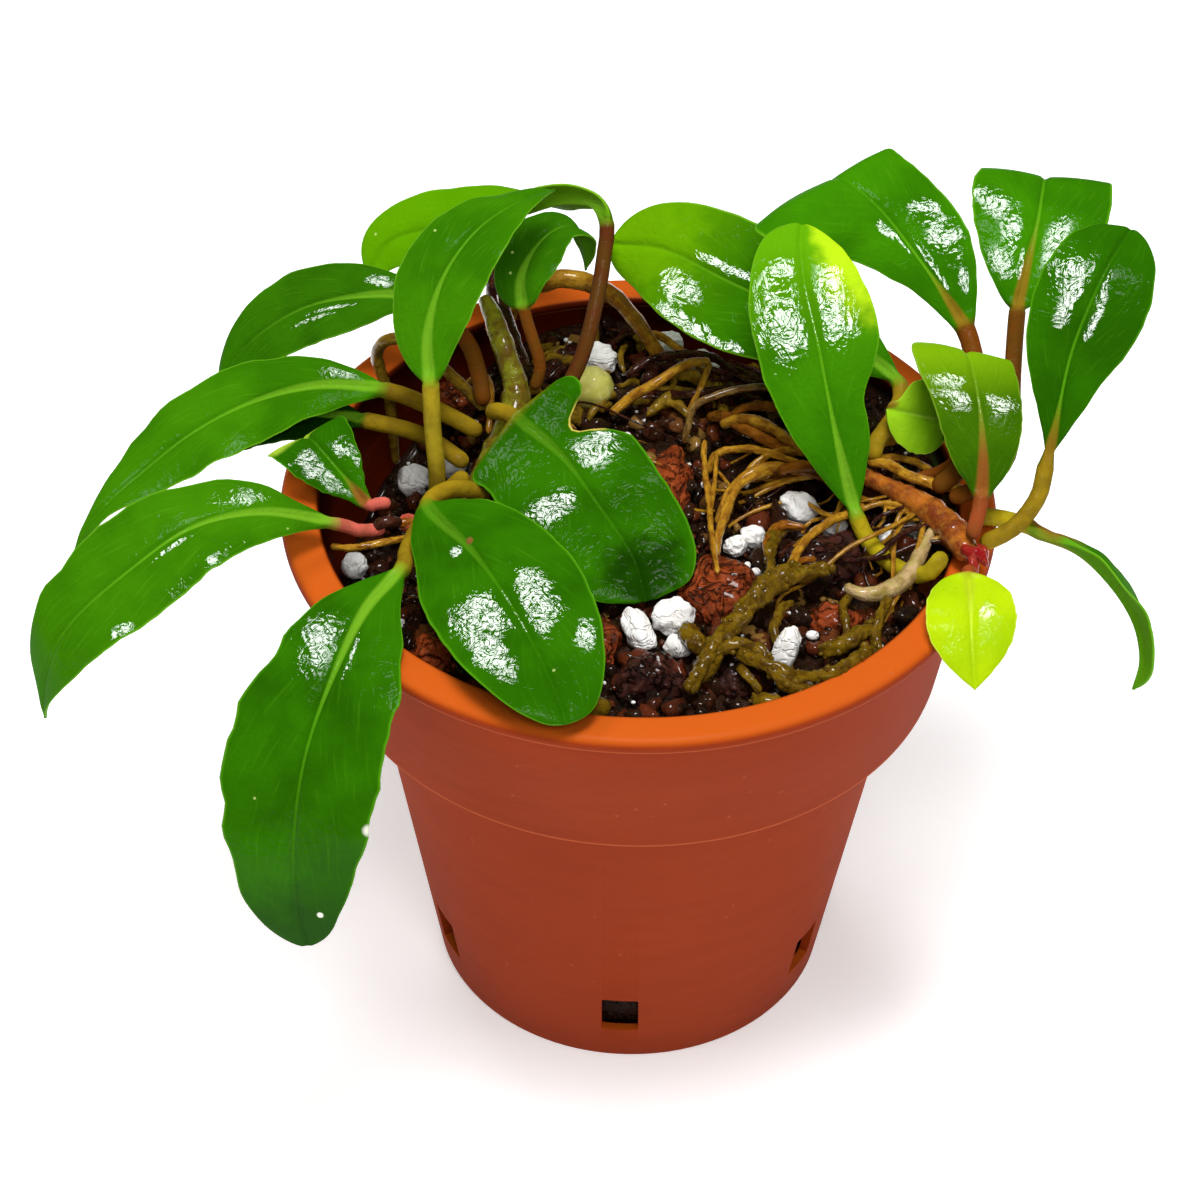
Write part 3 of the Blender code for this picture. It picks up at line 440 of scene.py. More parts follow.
def leafRing(centre, side, normal, widths, radius, look, share, seed):
    # a blade's cross-section: thin at its edges, a groove over the midrib, a rib below it
    opening = ease(share / 0.07)
    places, marks = [], []
    ribDepth = radius * 0.95 * (1 - share) ** 1.3 + 0.12
    ribWidth = radius * 0.8 * (1 - share) ** 0.8 + 0.25
    signs = [(u, 1) for u in acrossPlaces] + [(-u, 1) for u in reversed(acrossPlaces[:-1])]
    signs += [(-u, -1) for u in acrossPlaces[1:]] + [(u, -1) for u in reversed(acrossPlaces[1:-1])]
    for u, upper in signs:
        width = widths[1] if u > 0 else widths[0]
        reach = abs(u) * width
        rise = look["bend"] * (reach * math.tan(math.radians(look["fold"])) - look["droop"] * u * u * width)
        rise += 0.02 * width * math.sin(math.pi * min(abs(u) * 1.1, 1.0))
        sway = noise.noise(Vector((share * look["waveCount"], 4.0 * (1 if u > 0 else -1), seed)))
        rise += look["wave"] * abs(u) ** 2.2 * sway * 2.0 * ease(share / 0.2)
        lamina = edgeThickness + innerThickness * math.sqrt(max(1 - u ** 4, 0.0))
        if upper > 0:
            flat = lamina - grooveDepth * math.exp(-(reach / grooveWidth) ** 2)
        else:
            flat = -lamina - ribDepth * math.exp(-(reach / ribWidth) ** 2)
        rounded = upper * math.sqrt(max(1 - u * u, 0.0)) * radius
        height = (rise + flat) * opening + rounded * (1 - opening)
        places.append(centre + side * (u * width) + normal * height)
        marks.append((u, u * width, 0.0 if upper > 0 else 1.0))
    return places, marks


# what a leaf has unless its own settings say otherwise
leafDefaults = {
    "slot": "leaf_green", "droop": 0.1, "stalkRadius": 1.1, "waveCount": 7.0, "bend": 0.6, "ripple": 0.12,
    "stalkTone": oliveStalk, "stalkShade": tone(84, 62, 18), "ribTone": paleRib, "ribReach": 0.5,
    "ribForce": 0.7, "spots": [], "wet": [], "tintsShadeAndSheen": [],
}


def buildLeaf(settings):
    look = {**leafDefaults, **settings}
    seed = sum(map(ord, look["name"])) * 0.173
    radius = look["stalkRadius"]
    dense, stops = smoothRoute(look["stalk"] + look["blade"])
    lengths = routeLengths(dense)
    stalkLength = lengths[stops[len(look["stalk"])]]
    bladeLength = lengths[-1] - stalkLength
    faces = [Vector(face) for face in look["face"]]
    rings, marks = [], {"across": [], "sideways": [], "along": [], "under": []}

    def keep(ring, marked, along):
        rings.append(ring)
        marks["across"].append([mark[0] for mark in marked])
        marks["sideways"].append([mark[1] for mark in marked])
        marks["under"].append([mark[2] for mark in marked])
        marks["along"].append(along)

    bladeParts = []
    for index in range(bladeRings + 1):
        share = (1 - math.cos(math.pi * index / bladeRings)) / 2
        centre, tangent = placeAt(dense, lengths, stalkLength + share * bladeLength)
        side = tangent.cross(blendList(faces, share)).normalized()
        least = max(0.14, radius * (1 - share) ** 8)
        sways = [noise.noise(Vector((share * 16.0, edge * 5.0, seed))) for edge in (0, 1)]
        widths = [max(width + look["ripple"] * 2.0 * sway * math.sin(math.pi * share), least)
                  for width, sway in zip(halfWidths(look, share), sways)]
        bladeParts.append((share, centre, side, side.cross(tangent), widths))
    stalkSteps = max(5, round(stalkLength / 1.6))
    side = bladeParts[0][2]
    stalkParts = []
    # the stalk's lower end is rounded, because some of them lie open on the gravel
    stalkStops = [0.0, radius * 0.1, radius * 0.4, radius]
    evenStops = [stalkLength * index / stalkSteps for index in range(stalkSteps)]
    stalkStops += [stop for stop in evenStops if stop > radius * 1.3]
    for stop in reversed(stalkStops):
        centre, tangent = placeAt(dense, lengths, stop)
        side = (side - tangent * side.dot(tangent)).normalized()
        thick = radius * math.sqrt(1.0 - 0.98 * max(0.0, 1 - stop / radius) ** 2)
        stalkParts.insert(0, (stop / stalkLength, centre, side, side.cross(tangent), thick))
    for share, centre, side, normal, thick in stalkParts:
        ring, marked = leafRing(centre, side, normal, (thick, thick), thick, look, 0.0, seed)
        keep(ring, marked, share - 1.0)
    for share, centre, side, normal, widths in bladeParts:
        ring, marked = leafRing(centre, side, normal, widths, radius, look, share, seed)
        keep(ring, marked, share)
    skin = bmesh.new()
    loft(skin, rings, marks)
    finishPiece(look["name"], skin, leafMaterial(look), look["slot"], nodeName(look["name"]))


buildLeaf({
    "name": "leafHanging",
    "stalk": [(-22, 0.2, 79.8), (-24.4, -4, 80), (-27.4, -10, 79.6), (-28.6, -15, 79.9)],
    "blade": [(-28.9, -19, 80.6), (-33, -26, 79.9), (-36.4, -34.5, 77), (-39.3, -42, 71.5),
        (-40.7, -47, 63.5), (-40.8, -50, 54), (-39.5, -51, 46.6)],
    "face": [(-0.1, -0.3, 0.95), (-0.15, -0.6, 0.8), (-0.1, -0.95, 0.3)], "width": 19.5, "widest": 0.52,
    "ends": (0.8, 0.48), "fold": 5, "wave": 0.55, "bladeTones": darkBlade, "ripple": 0.5,
    "ribForce": 0.85, "spots": [((-37.7, -51.2, 52.3), 0.5, tone(236, 236, 220))],
    "wet": [(0.26, 0.48, 0.078, 0.314, (0.15, -0.1, -0.04)),
        (0.25, -0.13, 0.078, 0.056, (0.21, -0.15, -0.05))],
    # the darker tip is painted shade, where the blade hangs down in front of the pot
    "tintsShadeAndSheen": [(1.0, 0.0, 0.13, 1.4, tone(30, 66, 12), 0.7),
        (0.66, -1.0, 0.012, 0.07, tone(236, 232, 214), 0.9)],
})
buildLeaf({
    "name": "leafLeftLow", "stalk": [(-31.9, -7.9, 77.4), (-35, -9.7, 78.6)],
    "blade": [(-37.5, -10.2, 80), (-46.5, -13, 84), (-55, -16.5, 84.3), (-62.5, -21.5, 81.3),
        (-69.2, -26, 76.8), (-72.4, -28, 71), (-73.5, -28.5, 62.8)],
    "face": [(0.1, -0.3, 1), (0, -0.3, 1), (-0.1, -0.3, 0.9), (-0.6, -0.4, 0.5)], "width": 15,
    "widest": 0.52, "ends": (0.9, 0.9), "fold": 6, "droop": 0.12, "stalkRadius": 0.85, "wave": 0.5,
    "bladeTones": freshBlade, "stalkTone": pinkStalk, "ripple": 0.3, "ribForce": 0.85,
    "wet": [(0.22, 0.5, 0.067, 0.224, (-0.16, -0.16, -0.04)),
        (0.22, -0.08, 0.101, 0.056, (0.0, -0.3, -0.05)),
        (0.42, -0.15, 0.067, 0.056, (0.26, -0.21, -0.08)),
        (0.36, -0.84, 0.112, 0.078, (0.04, -0.13, -0.06)),
        (0.64, -0.83, 0.034, 0.101, (0.24, 0.09, 0.05))],
})
buildLeaf({
    "name": "leafLeftMiddle", "stalk": [(-20.3, 7.4, 80.7), (-26, 9.3, 82.8)],
    "blade": [(-32.5, 11, 84.4), (-41, 11, 85), (-49.5, 10, 83), (-57, 7, 80.3), (-63.5, 2, 77.3),
        (-69, -3.5, 74.6), (-72.6, -6, 69)],
    "face": [(0, -0.4, 0.95), (0, -0.4, 0.95), (-0.3, -0.4, 0.85), (-0.5, -0.35, 0.8)], "width": 12,
    "widest": 0.43, "ends": (0.9, 1.5), "fold": 5, "droop": 0.12, "wave": 0.4, "bladeTones": freshBlade,
    "ripple": 0.25, "ribForce": 0.75, "wet": [(0.12, 0.5, 0.045, 0.224, (0.0, -0.19, -0.08))],
})
buildLeaf({
    "name": "leafLeftUnder", "slot": "leaf_deep_green", "stalk": [(-22, 4.3, 78), (-28, 8.3, 79.4)],
    "blade": [(-35.3, 10.6, 79.7), (-40, 11, 80), (-46, 10.8, 79.8), (-51, 9.4, 78.2),
        (-55.5, 7.4, 75.4)], "face": [(0, -0.2, 0.98), (-0.3, -0.3, 0.85)], "width": 7.5, "widest": 0.45,
    "ends": (0.9, 0.9), "fold": 4, "wave": 0.2, "bladeTones": shadedBlade,
})
buildLeaf({
    "name": "leafLeftHigh", "slot": "leaf_deep_green",
    "stalk": [(-20.2, 11.2, 82.2), (-20.9, 14.6, 84.4), (-22.4, 18, 86.8), (-25.3, 21, 88)],
    "blade": [(-28.5, 23.3, 88.7), (-33, 25.3, 88.8), (-42.4, 26.5, 86.3), (-49, 26, 82.5),
        (-53.5, 24, 78.5), (-55.6, 21.5, 75)],
    "face": [(0, -0.3, 0.95), (0, -0.4, 0.9), (-0.6, -0.4, 0.7)], "width": 11.5, "widest": 0.48,
    "ends": (0.7, 0.8), "fold": 6, "droop": 0.12, "wave": 0.25, "bladeTones": deepBlade,
    "stalkTone": brownStalk, "wet": [(0.19, 0.5, 0.056, 0.224, (0.26, -0.23, -0.08)),
        (0.39, -0.25, 0.101, 0.056, (0.41, -0.19, -0.03)),
        (0.47, -0.4, 0.101, 0.056, (0.5, -0.13, 0.03))],
})
buildLeaf({
    "name": "leafArching", "stalk": [(-25.6, -1.2, 77.2), (-25.6, -0.8, 81.5), (-26.1, 0.6, 86.8)],
    "blade": [(-26.4, 3, 91.9), (-26.8, 7, 97.2), (-25, 11.5, 102.7), (-20.9, 16.5, 106.4),
        (-15.8, 22, 106.8), (-11.6, 26.8, 105.4)],
    "face": [(-0.2, -0.9, 0.5), (-0.3, -0.75, 0.6), (-0.3, -0.3, 0.85), (-0.1, 0.25, 0.95)],
    "width": 11.5, "widest": 0.42, "ends": (0.8, 1.0), "fold": 14, "wave": 0.25, "bladeTones": freshBlade,
    "stalkTone": paleStalk, "bend": 0.5, "ribForce": 0.8,
})
buildLeaf({
    "name": "leafSmallArch", "slot": "leaf_deep_green",
    "stalk": [(-13.8, 12.8, 83.7), (-13, 14, 86.6), (-14.2, 16, 90)], "blade": [(-15.2, 18, 92.6),
        (-15.6, 21, 95.5), (-13.8, 24.4, 98), (-11, 26.6, 99.3), (-8.6, 27.2, 98.6), (-7.5, 27.2, 95.6),
        (-7.4, 26.8, 92.6)],
    "face": [(-0.4, -0.8, 0.5), (-0.3, -0.6, 0.7), (0, 0.2, 0.9), (0.5, 0.8, 0.3)], "width": 8.5,
    "widest": 0.36, "ends": (0.7, 0.9), "fold": 12, "stalkRadius": 0.8, "wave": 0.15,
    "bladeTones": deepBlade, "stalkTone": brownStalk,
})
buildLeaf({
    "name": "leafBackPale", "slot": "leaf_light_green", "stalk": [(-12.9, 10.2, 81.2), (-10.4, 12.4, 83),
        (-8.5, 14.8, 85.2), (-7, 18, 88.3), (-5.7, 24, 92), (-5.2, 27.4, 94.4)],
    "blade": [(-4.9, 30.4, 97), (-6.2, 33, 99), (-11, 35.2, 97.8), (-17.6, 37.4, 93.6),
        (-25, 38.6, 90.4), (-33, 39, 87.6), (-36.8, 37, 83.4)],
    "face": [(0.6, 0.7, 0.3), (0.3, 0.7, 0.6), (0, -0.2, 0.95), (-0.2, -0.5, 0.85), (-0.4, -0.4, 0.8)],
    "width": 12, "widest": 0.6, "ends": (0.42, 0.5), "fold": 5, "stalkRadius": 1.0, "wave": 0.3,
    "bladeTones": backBlade, "stalkTone": darkStalk,
})
buildLeaf({
    "name": "leafCentrePale", "slot": "leaf_light_green",
    "stalk": [(29.6, 2.7, 81.8), (30.3, 5.5, 82.7), (32.4, 8.5, 84.2)], "blade": [(33.2, 12.3, 86),
        (29.1, 15.2, 88.4), (20, 19.3, 91.8), (11, 24.6, 92.8), (2.6, 30, 93.6), (-4.4, 33.6, 91.6)],
    "face": [(0, -0.6, 0.8), (0, -0.6, 0.8)], "width": 17.6, "widest": 0.58, "ends": (0.8, 0.46),
    "fold": 5, "droop": 0.08, "wave": 0.3, "bladeTones": paleBlade, "bend": 0.4,
    "wet": [(0.72, -0.5, 0.067, 0.224, (0.21, -0.04, 0.0)), (0.65, -0.9, 0.09, 0.146, (0.26, 0.09, 0.1)),
        (0.51, -0.92, 0.056, 0.09, (0.24, 0.11, 0.11)), (0.57, 0.17, 0.134, 0.056, (0.25, 0.02, 0.05)),
        (0.66, 0.08, 0.067, 0.045, (0.28, 0.08, 0.1))],
    "tintsShadeAndSheen": [(0.9, 0.1, 0.14, 0.8, tone(104, 158, 4), 0.6)],
})
buildLeaf({
    "name": "leafUpright",
    "stalk": [(38.3, -12.9, 79.9), (36, -15, 78.2), (33, -12.5, 76.6), (30, -9, 76.8)],
    "blade": [(27.6, -6, 79.3), (24.7, -1, 88), (22, 6, 97.6), (20.2, 11, 102.8), (19.6, 15.5, 105.2),
        (19.8, 20.3, 105.4)], "face": [(0.1, -0.8, 0.6), (0.05, -0.7, 0.7), (0.05, -0.45, 0.9)],
    "width": 15.8, "widest": 0.6, "ends": (0.72, 0.5), "fold": 6, "droop": 0.06,
    "bite": (0.38, 1, 2.0, 0.11), "wave": 0.2, "bladeTones": yellowTipBlade, "stalkTone": limeStalk,
    "bend": 0.15, "ribForce": 0.9, "ribReach": 0.45,
    "wet": [(0.65, -0.5, 0.134, 0.47, (-0.08, 0.23, 0.18)),
        (0.79, -0.42, 0.056, 0.28, (-0.05, 0.0, 0.0)), (0.64, 0.36, 0.112, 0.336, (-0.07, 0.22, 0.17)),
        (0.75, 0.44, 0.056, 0.224, (-0.1, 0.1, 0.07))],
    "tintsShadeAndSheen": [(0.86, 0.95, 0.2, 0.5, tone(184, 222, 26), 0.8)],
})
buildLeaf({
    "name": "leafTopFolded",
    "stalk": [(37.2, -3.3, 82), (40.4, -0.8, 83.6), (43, 3.5, 85.4), (43.6, 9, 87), (42.6, 14, 89)],
    "blade": [(41.4, 18, 91.2), (38.3, 21.5, 94.5), (34.6, 25, 98), (30.8, 28.5, 101.2),
        (27.2, 31.2, 103.2), (25, 33, 103.4), (23.4, 34.6, 101.2)],
    "face": [(-0.17, -0.58, 0.78), (-0.1, -0.5, 0.85), (-0.05, -0.2, 1), (-0.2, 0.3, 0.9)], "width": 18,
    "fold": 1, "droop": 0.08, "stalkRadius": 1.25, "outline": [(0, 1.3, 1.3), (0.06, 1.6, 2.6),
        (0.15, 2.2, 4.6), (0.27, 3.2, 6.6), (0.4, 5, 7.8), (0.54, 7.6, 8.2), (0.67, 10.8, 8.6),
        (0.79, 14.4, 9.4), (0.88, 15.6, 9.4), (0.95, 14, 7.4), (1, 9, 4)], "wave": 0.35,
    "bladeTones": topBlade, "stalkTone": brownStalk, "ribTone": brownRib, "ribForce": 0.9,
    "ribReach": 0.35, "wet": [(0.38, 0.6, 0.112, 0.246, (-0.12, 0.02, 0.01)),
        (0.53, 0.58, 0.067, 0.202, (-0.18, -0.12, -0.05)),
        (0.18, 0.6, 0.045, 0.134, (-0.19, 0.13, 0.11)), (0.56, -0.17, 0.056, 0.09, (-0.29, 0.01, 0.04)),
        (0.47, -0.09, 0.067, 0.056, (-0.44, -0.13, 0.02)), (0.3, 0.12, 0.123, 0.056, (0.1, 0.25, 0.24))],
})
buildLeaf({
    "name": "leafTopRight",
    "stalk": [(39.1, -4.6, 81.6), (43.5, -3, 82.9), (46.2, 0, 84.6), (47, 4, 86), (47.2, 10.5, 89.4)],
    "blade": [(47.7, 17, 94.8), (48.4, 20, 97.4), (50.2, 26.5, 101.4), (51, 31, 103.1),
        (51.6, 34.8, 102.8), (52.2, 38, 98.6), (52.4, 39.6, 95)],
    "face": [(0, -0.7, 0.7), (0, -0.6, 0.8), (0, -0.1, 0.95), (0, 0.8, 0.5)], "width": 18, "widest": 0.54,
    "ends": (0.62, 0.6), "fold": 6, "droop": 0.04, "wave": 0.3, "bladeTones": topBlade,
    "stalkTone": brownStalk, "ribTone": brownRib, "ribForce": 0.9, "ribReach": 0.5,
    "wet": [(0.51, -0.8, 0.067, 0.168, (-0.02, -0.28, -0.12)),
        (0.46, -0.62, 0.067, 0.224, (-0.06, -0.14, -0.07)),
        (0.34, -0.38, 0.101, 0.146, (-0.16, -0.04, -0.02)),
        (0.18, -0.55, 0.056, 0.314, (-0.06, 0.05, 0.03)),
        (0.2, -0.13, 0.067, 0.067, (-0.49, 0.06, 0.15)), (0.34, 0.35, 0.101, 0.134, (-0.03, 0.0, 0.0))],
})
buildLeaf({
    "name": "leafRightOval", "stalk": [(42.8, -11.5, 80.2), (47, -9.2, 81.2), (50, -5.5, 83)],
    "blade": [(51, -2, 85), (52.1, 1.2, 89.3), (53.9, 7, 96.8), (57.4, 13.2, 103.4), (59.6, 17, 105.2),
        (61.4, 20.6, 105.6)], "face": [(-0.05, -0.75, 0.65), (-0.05, -0.7, 0.7), (0.05, -0.4, 0.9)],
    "width": 14.4, "widest": 0.65, "ends": (0.78, 0.5), "fold": 6, "droop": 0.05, "wave": 0.25,
    "bladeTones": darkBlade, "ribTone": brownRib, "ribForce": 0.9, "ribReach": 0.3,
    "wet": [(0.71, -0.5, 0.101, 0.358, (-0.06, 0.13, 0.09)),
        (0.6, -0.36, 0.078, 0.168, (-0.06, 0.21, 0.17)), (0.7, 0.1, 0.067, 0.056, (0.3, -0.04, 0.08)),
        (0.59, 0.16, 0.09, 0.09, (0.1, 0.18, 0.15))],
})
buildLeaf({
    "name": "leafRedVein", "stalk": [(41.4, -12.7, 82.4), (42.1, -10.2, 83)],
    "blade": [(42.7, -7.5, 84.4), (42.8, -4.5, 88.4), (42.4, 0, 92), (41.6, 5.5, 94.2), (41, 8.6, 94.4),
        (40.8, 10.8, 92.8)],
    "face": [(-0.05, -0.8, 0.55), (0, -0.6, 0.8), (0.15, -0.1, 1), (0.2, 0.5, 0.8)], "width": 13,
    "fold": 5, "droop": 0.04, "stalkRadius": 0.95, "outline": [(0, 1, 1), (0.06, 1.7, 1.7),
        (0.16, 3.3, 3.3), (0.3, 4.6, 4.6), (0.45, 5.4, 5.3), (0.6, 6.2, 5.5), (0.74, 7.4, 5.6),
        (0.86, 7.6, 5.4), (0.95, 5.6, 4), (1, 2.6, 1.8)], "wave": 0.2, "bladeTones": youngBlade,
    "stalkTone": redStalk, "ribTone": redRib, "bend": 0.3, "ribForce": 0.9, "ribReach": 0.6,
    "wet": [(0.55, -0.48, 0.056, 0.47, (-0.2, -0.03, -0.01)),
        (0.52, 0.52, 0.056, 0.448, (-0.16, -0.13, -0.06)),
        (0.67, -0.45, 0.034, 0.336, (-0.26, -0.14, -0.04))],
})
buildLeaf({
    "name": "leafSmallBitten", "slot": "leaf_light_green",
    "stalk": [(34.8, -0.8, 81.6), (38.6, 0.9, 82), (41.2, 3.4, 83.2)],
    "blade": [(40.2, 5.6, 84.8), (36.4, 6.2, 85.9), (31.2, 6.2, 87.2)],
    "face": [(0.1, -0.7, 0.7), (0.1, -0.7, 0.7)], "width": 9.6, "widest": 0.5, "ends": (0.5, 0.5),
    "fold": 4, "stalkRadius": 0.7, "bite": (0.86, 1, 1.6, 0.1), "wave": 0.2, "bladeTones": biteBlade,
    "stalkTone": brownStalk, "tintsShadeAndSheen": [(0.98, 0.6, 0.1, 0.4, tone(120, 60, 20), 0.8)],
})
buildLeaf({
    "name": "leafLime", "slot": "leaf_lime", "stalk": [(41.3, -15.9, 80.2), (41.1, -16.8, 80.4)],
    "blade": [(40.9, -18, 80.6), (41, -22.5, 80.5), (41.1, -27.4, 78.4), (41.5, -32.3, 75)],
    "face": [(0, -0.3, 0.95), (0.05, -0.6, 0.8)], "width": 11.2, "widest": 0.42, "ends": (0.38, 0.85),
    "fold": 6, "stalkRadius": 0.9, "wave": 0.2, "bladeTones": limeBlade, "stalkTone": redStalk,
    "ribTone": limeRib, "wet": [(0.37, -0.32, 0.056, 0.157, (0.0, -0.11, -0.05))],
})
buildLeaf({
    "name": "leafTrailingNarrow", "stalk": [(41.6, -5.9, 80), (45, -5.4, 79.5)],
    "blade": [(49, -6.1, 78.9), (55.3, -8.6, 77.9), (59.8, -11.6, 74.9), (63, -14, 70.4),
        (64, -16.8, 66.4), (63.2, -18.5, 62.6)],
    "face": [(0.4, 0.3, 0.85), (0.7, 0.3, 0.6), (0.9, 0.2, 0.2)], "width": 8, "widest": 0.66,
    "ends": (1.0, 0.9), "fold": 28, "droop": 0.0, "wave": 0.2, "bladeTones": freshBlade,
    "stalkTone": limeStalk, "ribTone": redRib,
})
buildLeaf({
    "name": "leafBittenFront", "stalk": [(-19.2, 7.9, 83.4), (-18.3, 7.1, 84.7)],
    "blade": [(-16, 5.2, 85.2), (-10, 0.3, 83.3), (-5.4, -5.8, 81), (-0.6, -13.2, 78.4),
        (1.2, -19, 76.2)], "face": [(0.05, -0.45, 0.85), (0.05, -0.5, 0.85), (0.05, -0.5, 0.85)],
    "width": 19, "fold": 4, "droop": 0.08, "outline": [(0, 1.2, 1.2), (0.03, 8, 9), (0.12, 8.6, 9.9),
        (0.17, 4.4, 10.1), (0.22, 3.9, 10.3), (0.27, 6.6, 10.3), (0.35, 8.8, 10.3), (0.5, 8.9, 10.3),
        (0.65, 8.7, 10.1), (0.8, 8.2, 9.4), (0.92, 6.6, 7.6), (0.97, 4.8, 5.6), (1, 1.4, 1.4)],
    "wave": 0.25, "bladeTones": darkBlade, "bend": 0.15, "ribForce": 0.3, "scar": (0.15, 0.27, -1.0),
    "wet": [(0.31, -0.45, 0.067, 0.291, (0.08, -0.1, -0.04)),
        (0.28, -0.78, 0.034, 0.179, (0.03, -0.22, -0.09)),
        (0.44, 0.52, 0.05, 0.291, (0.09, -0.08, -0.04))],
    # a darker patch near the tip: painted shade
    "tintsShadeAndSheen": [(0.93, -0.15, 0.16, 0.6, tone(14, 42, 2), 0.85)],
})
buildLeaf({
    "name": "leafFront", "stalk": [(-19.8, -1.9, 78.2), (-21.6, -4, 81), (-24.4, -6.6, 82.8)],
    "blade": [(-26.2, -10, 83.4), (-24.6, -13.6, 84), (-20.5, -18.9, 84), (-16.2, -26.3, 83.6),
        (-12, -35, 82.6), (-9, -42, 80.9), (-8, -45, 79.8)],
    "face": [(-0.1, -0.45, 0.9), (0, -0.4, 0.9), (0.1, -0.3, 0.95)], "width": 19.5, "widest": 0.52,
    "ends": (0.62, 0.42), "fold": 4, "wave": 0.3, "bladeTones": darkBlade, "bend": 0.15, "ribForce": 0.3,
    "spots": [((-20.6, -17.8, 84.4), 0.6, tone(120, 84, 40))],
    "wet": [(0.54, 0.4, 0.101, 0.381, (0.17, -0.33, -0.1)),
        (0.68, 0.6, 0.112, 0.246, (0.14, -0.29, -0.09)),
        (0.56, -0.27, 0.112, 0.291, (0.17, -0.26, -0.08)),
        (0.74, -0.75, 0.045, 0.157, (-0.03, -0.25, -0.08)),
        (0.25, 0.2, 0.022, 0.134, (0.24, -0.33, -0.09))],
})
buildLeaf({
    "name": "leafSmallSilver", "stalk": [(-31.2, -5.3, 79.5), (-32.8, -5.1, 79.2)],
    "blade": [(-34.1, -4.9, 78.8), (-36.6, -2.8, 80.6), (-39.9, 0, 83), (-41.8, 2, 83.6), (-43, 3.6, 82)],
    "face": [(0.1, -0.75, 0.65), (0.1, -0.6, 0.8), (-0.2, 0.2, 0.95)], "width": 11, "widest": 0.62,
    "ends": (0.8, 0.7), "fold": 5, "droop": 0.05, "stalkRadius": 0.8, "wave": 0.15,
    "bladeTones": darkBlade, "stalkTone": pinkStalk, "ribTone": redRib, "bend": 0.2, "ribForce": 0.8,
    "ribReach": 0.4, "outline": [(0, 0.8, 0.8), (0.15, 1.6, 1.4), (0.35, 3.4, 3.0), (0.6, 4.8, 4.6),
        (0.85, 5.4, 5.4), (1, 5.2, 4.4)], "wet": [(0.69, -0.5, 0.09, 0.392, (-0.03, -0.02, -0.01)),
        (0.48, -0.5, 0.134, 0.358, (-0.07, 0.14, 0.1)), (0.3, -0.58, 0.112, 0.314, (0.0, 0.21, 0.15)),
        (0.54, 0.5, 0.078, 0.291, (0.03, 0.01, 0.0)), (0.38, 0.8, 0.056, 0.134, (-0.14, 0.09, 0.08))],
    # the pale tip is a painted sheen
    "tintsShadeAndSheen": [(0.97, -0.4, 0.09, 0.8, tone(176, 208, 60), 0.8)],
})
print("leaves grown")


# stems and roots
def rootMaterial(name, first, second, spot, spots, roughness, wet):
    # two tones in patches along the root, and fine spots of a third
    material, tree, shader = startMaterial(name + "Finish")
    place = objectPlace(tree)
    travel = calc(tree, "MULTIPLY", attribute(tree, "travel"), 0.35)
    turn = calc(tree, "MULTIPLY", attribute(tree, "round"), 1.5)
    bands = addNode(tree, "ShaderNodeCombineXYZ", {}, {"X": travel, "Y": turn})
    patch = grain(tree, bands.outputs[0], 1.3, 4.0, 0.6)
    fine = grain(tree, place, 700.0, 4.0, 0.65)
    body = mixTones(tree, ramp(tree, patch, 0.35, 0.65), tone(*first), tone(*second))
    body = mixTones(tree, ramp(tree, fine, 0.5, 0.72, spots), body, tone(*spot))
    tree.links.new(body, shader.inputs["Base Color"])
    skin = relief(tree, patch, 0.0005)
    skin = relief(tree, fine, roughness * 0.0012, 1.0, skin)
    tree.links.new(skin, shader.inputs["Normal"])
    tree.links.new(ramp(tree, fine, 0.3, 0.7, 0.45), shader.inputs["Roughness"])
    setInputs(shader, {"Coat Weight": wet, "Coat Roughness": 0.08, "Specular IOR Level": 0.2})
    return material


sheathFinish = rootMaterial("sheath", (124, 128, 26), (92, 72, 18), (60, 34, 12), 0.4, 0.25, 0.9)
crownFinish = rootMaterial("crown", (172, 98, 30), (112, 50, 22), (196, 140, 50), 0.35, 0.2, 1.0)
pinkFinish = rootMaterial("pink", (214, 104, 84), (158, 62, 44), (90, 40, 24), 0.4, 0.3, 0.8)
budFinish = rootMaterial("bud", (136, 14, 22), (150, 44, 26), (206, 96, 70), 0.25, 0.5, 0.6)
oliveRootFinish = rootMaterial("oliveRoot", (142, 112, 26), (98, 70, 16), (60, 34, 12), 0.4, 0.3, 0.9)
goldRootFinish = rootMaterial("goldRoot", (186, 138, 36), (132, 82, 18), (84, 38, 12), 0.45, 0.35, 1.0)
orangeRootFinish = rootMaterial("orangeRoot", (152, 92, 20), (108, 58, 14), (60, 24, 10), 0.4, 0.3, 1.0)
darkRootFinish = rootMaterial("darkRoot", (62, 26, 20), (30, 12, 12), (120, 76, 36), 0.3, 0.35, 1.0)
greyRootFinish = rootMaterial("greyRoot", (134, 104, 48), (72, 42, 20), (172, 144, 92), 0.4, 0.3, 1.0)
mossyRootFinish = rootMaterial("mossyRoot", (110, 84, 12), (66, 44, 8), (140, 112, 24), 0.5, 0.12, 1.0)
stipuleFinish = rootMaterial("stipule", (188, 158, 114), (140, 118, 62), (166, 172, 60), 0.4, 0.3, 1.0)


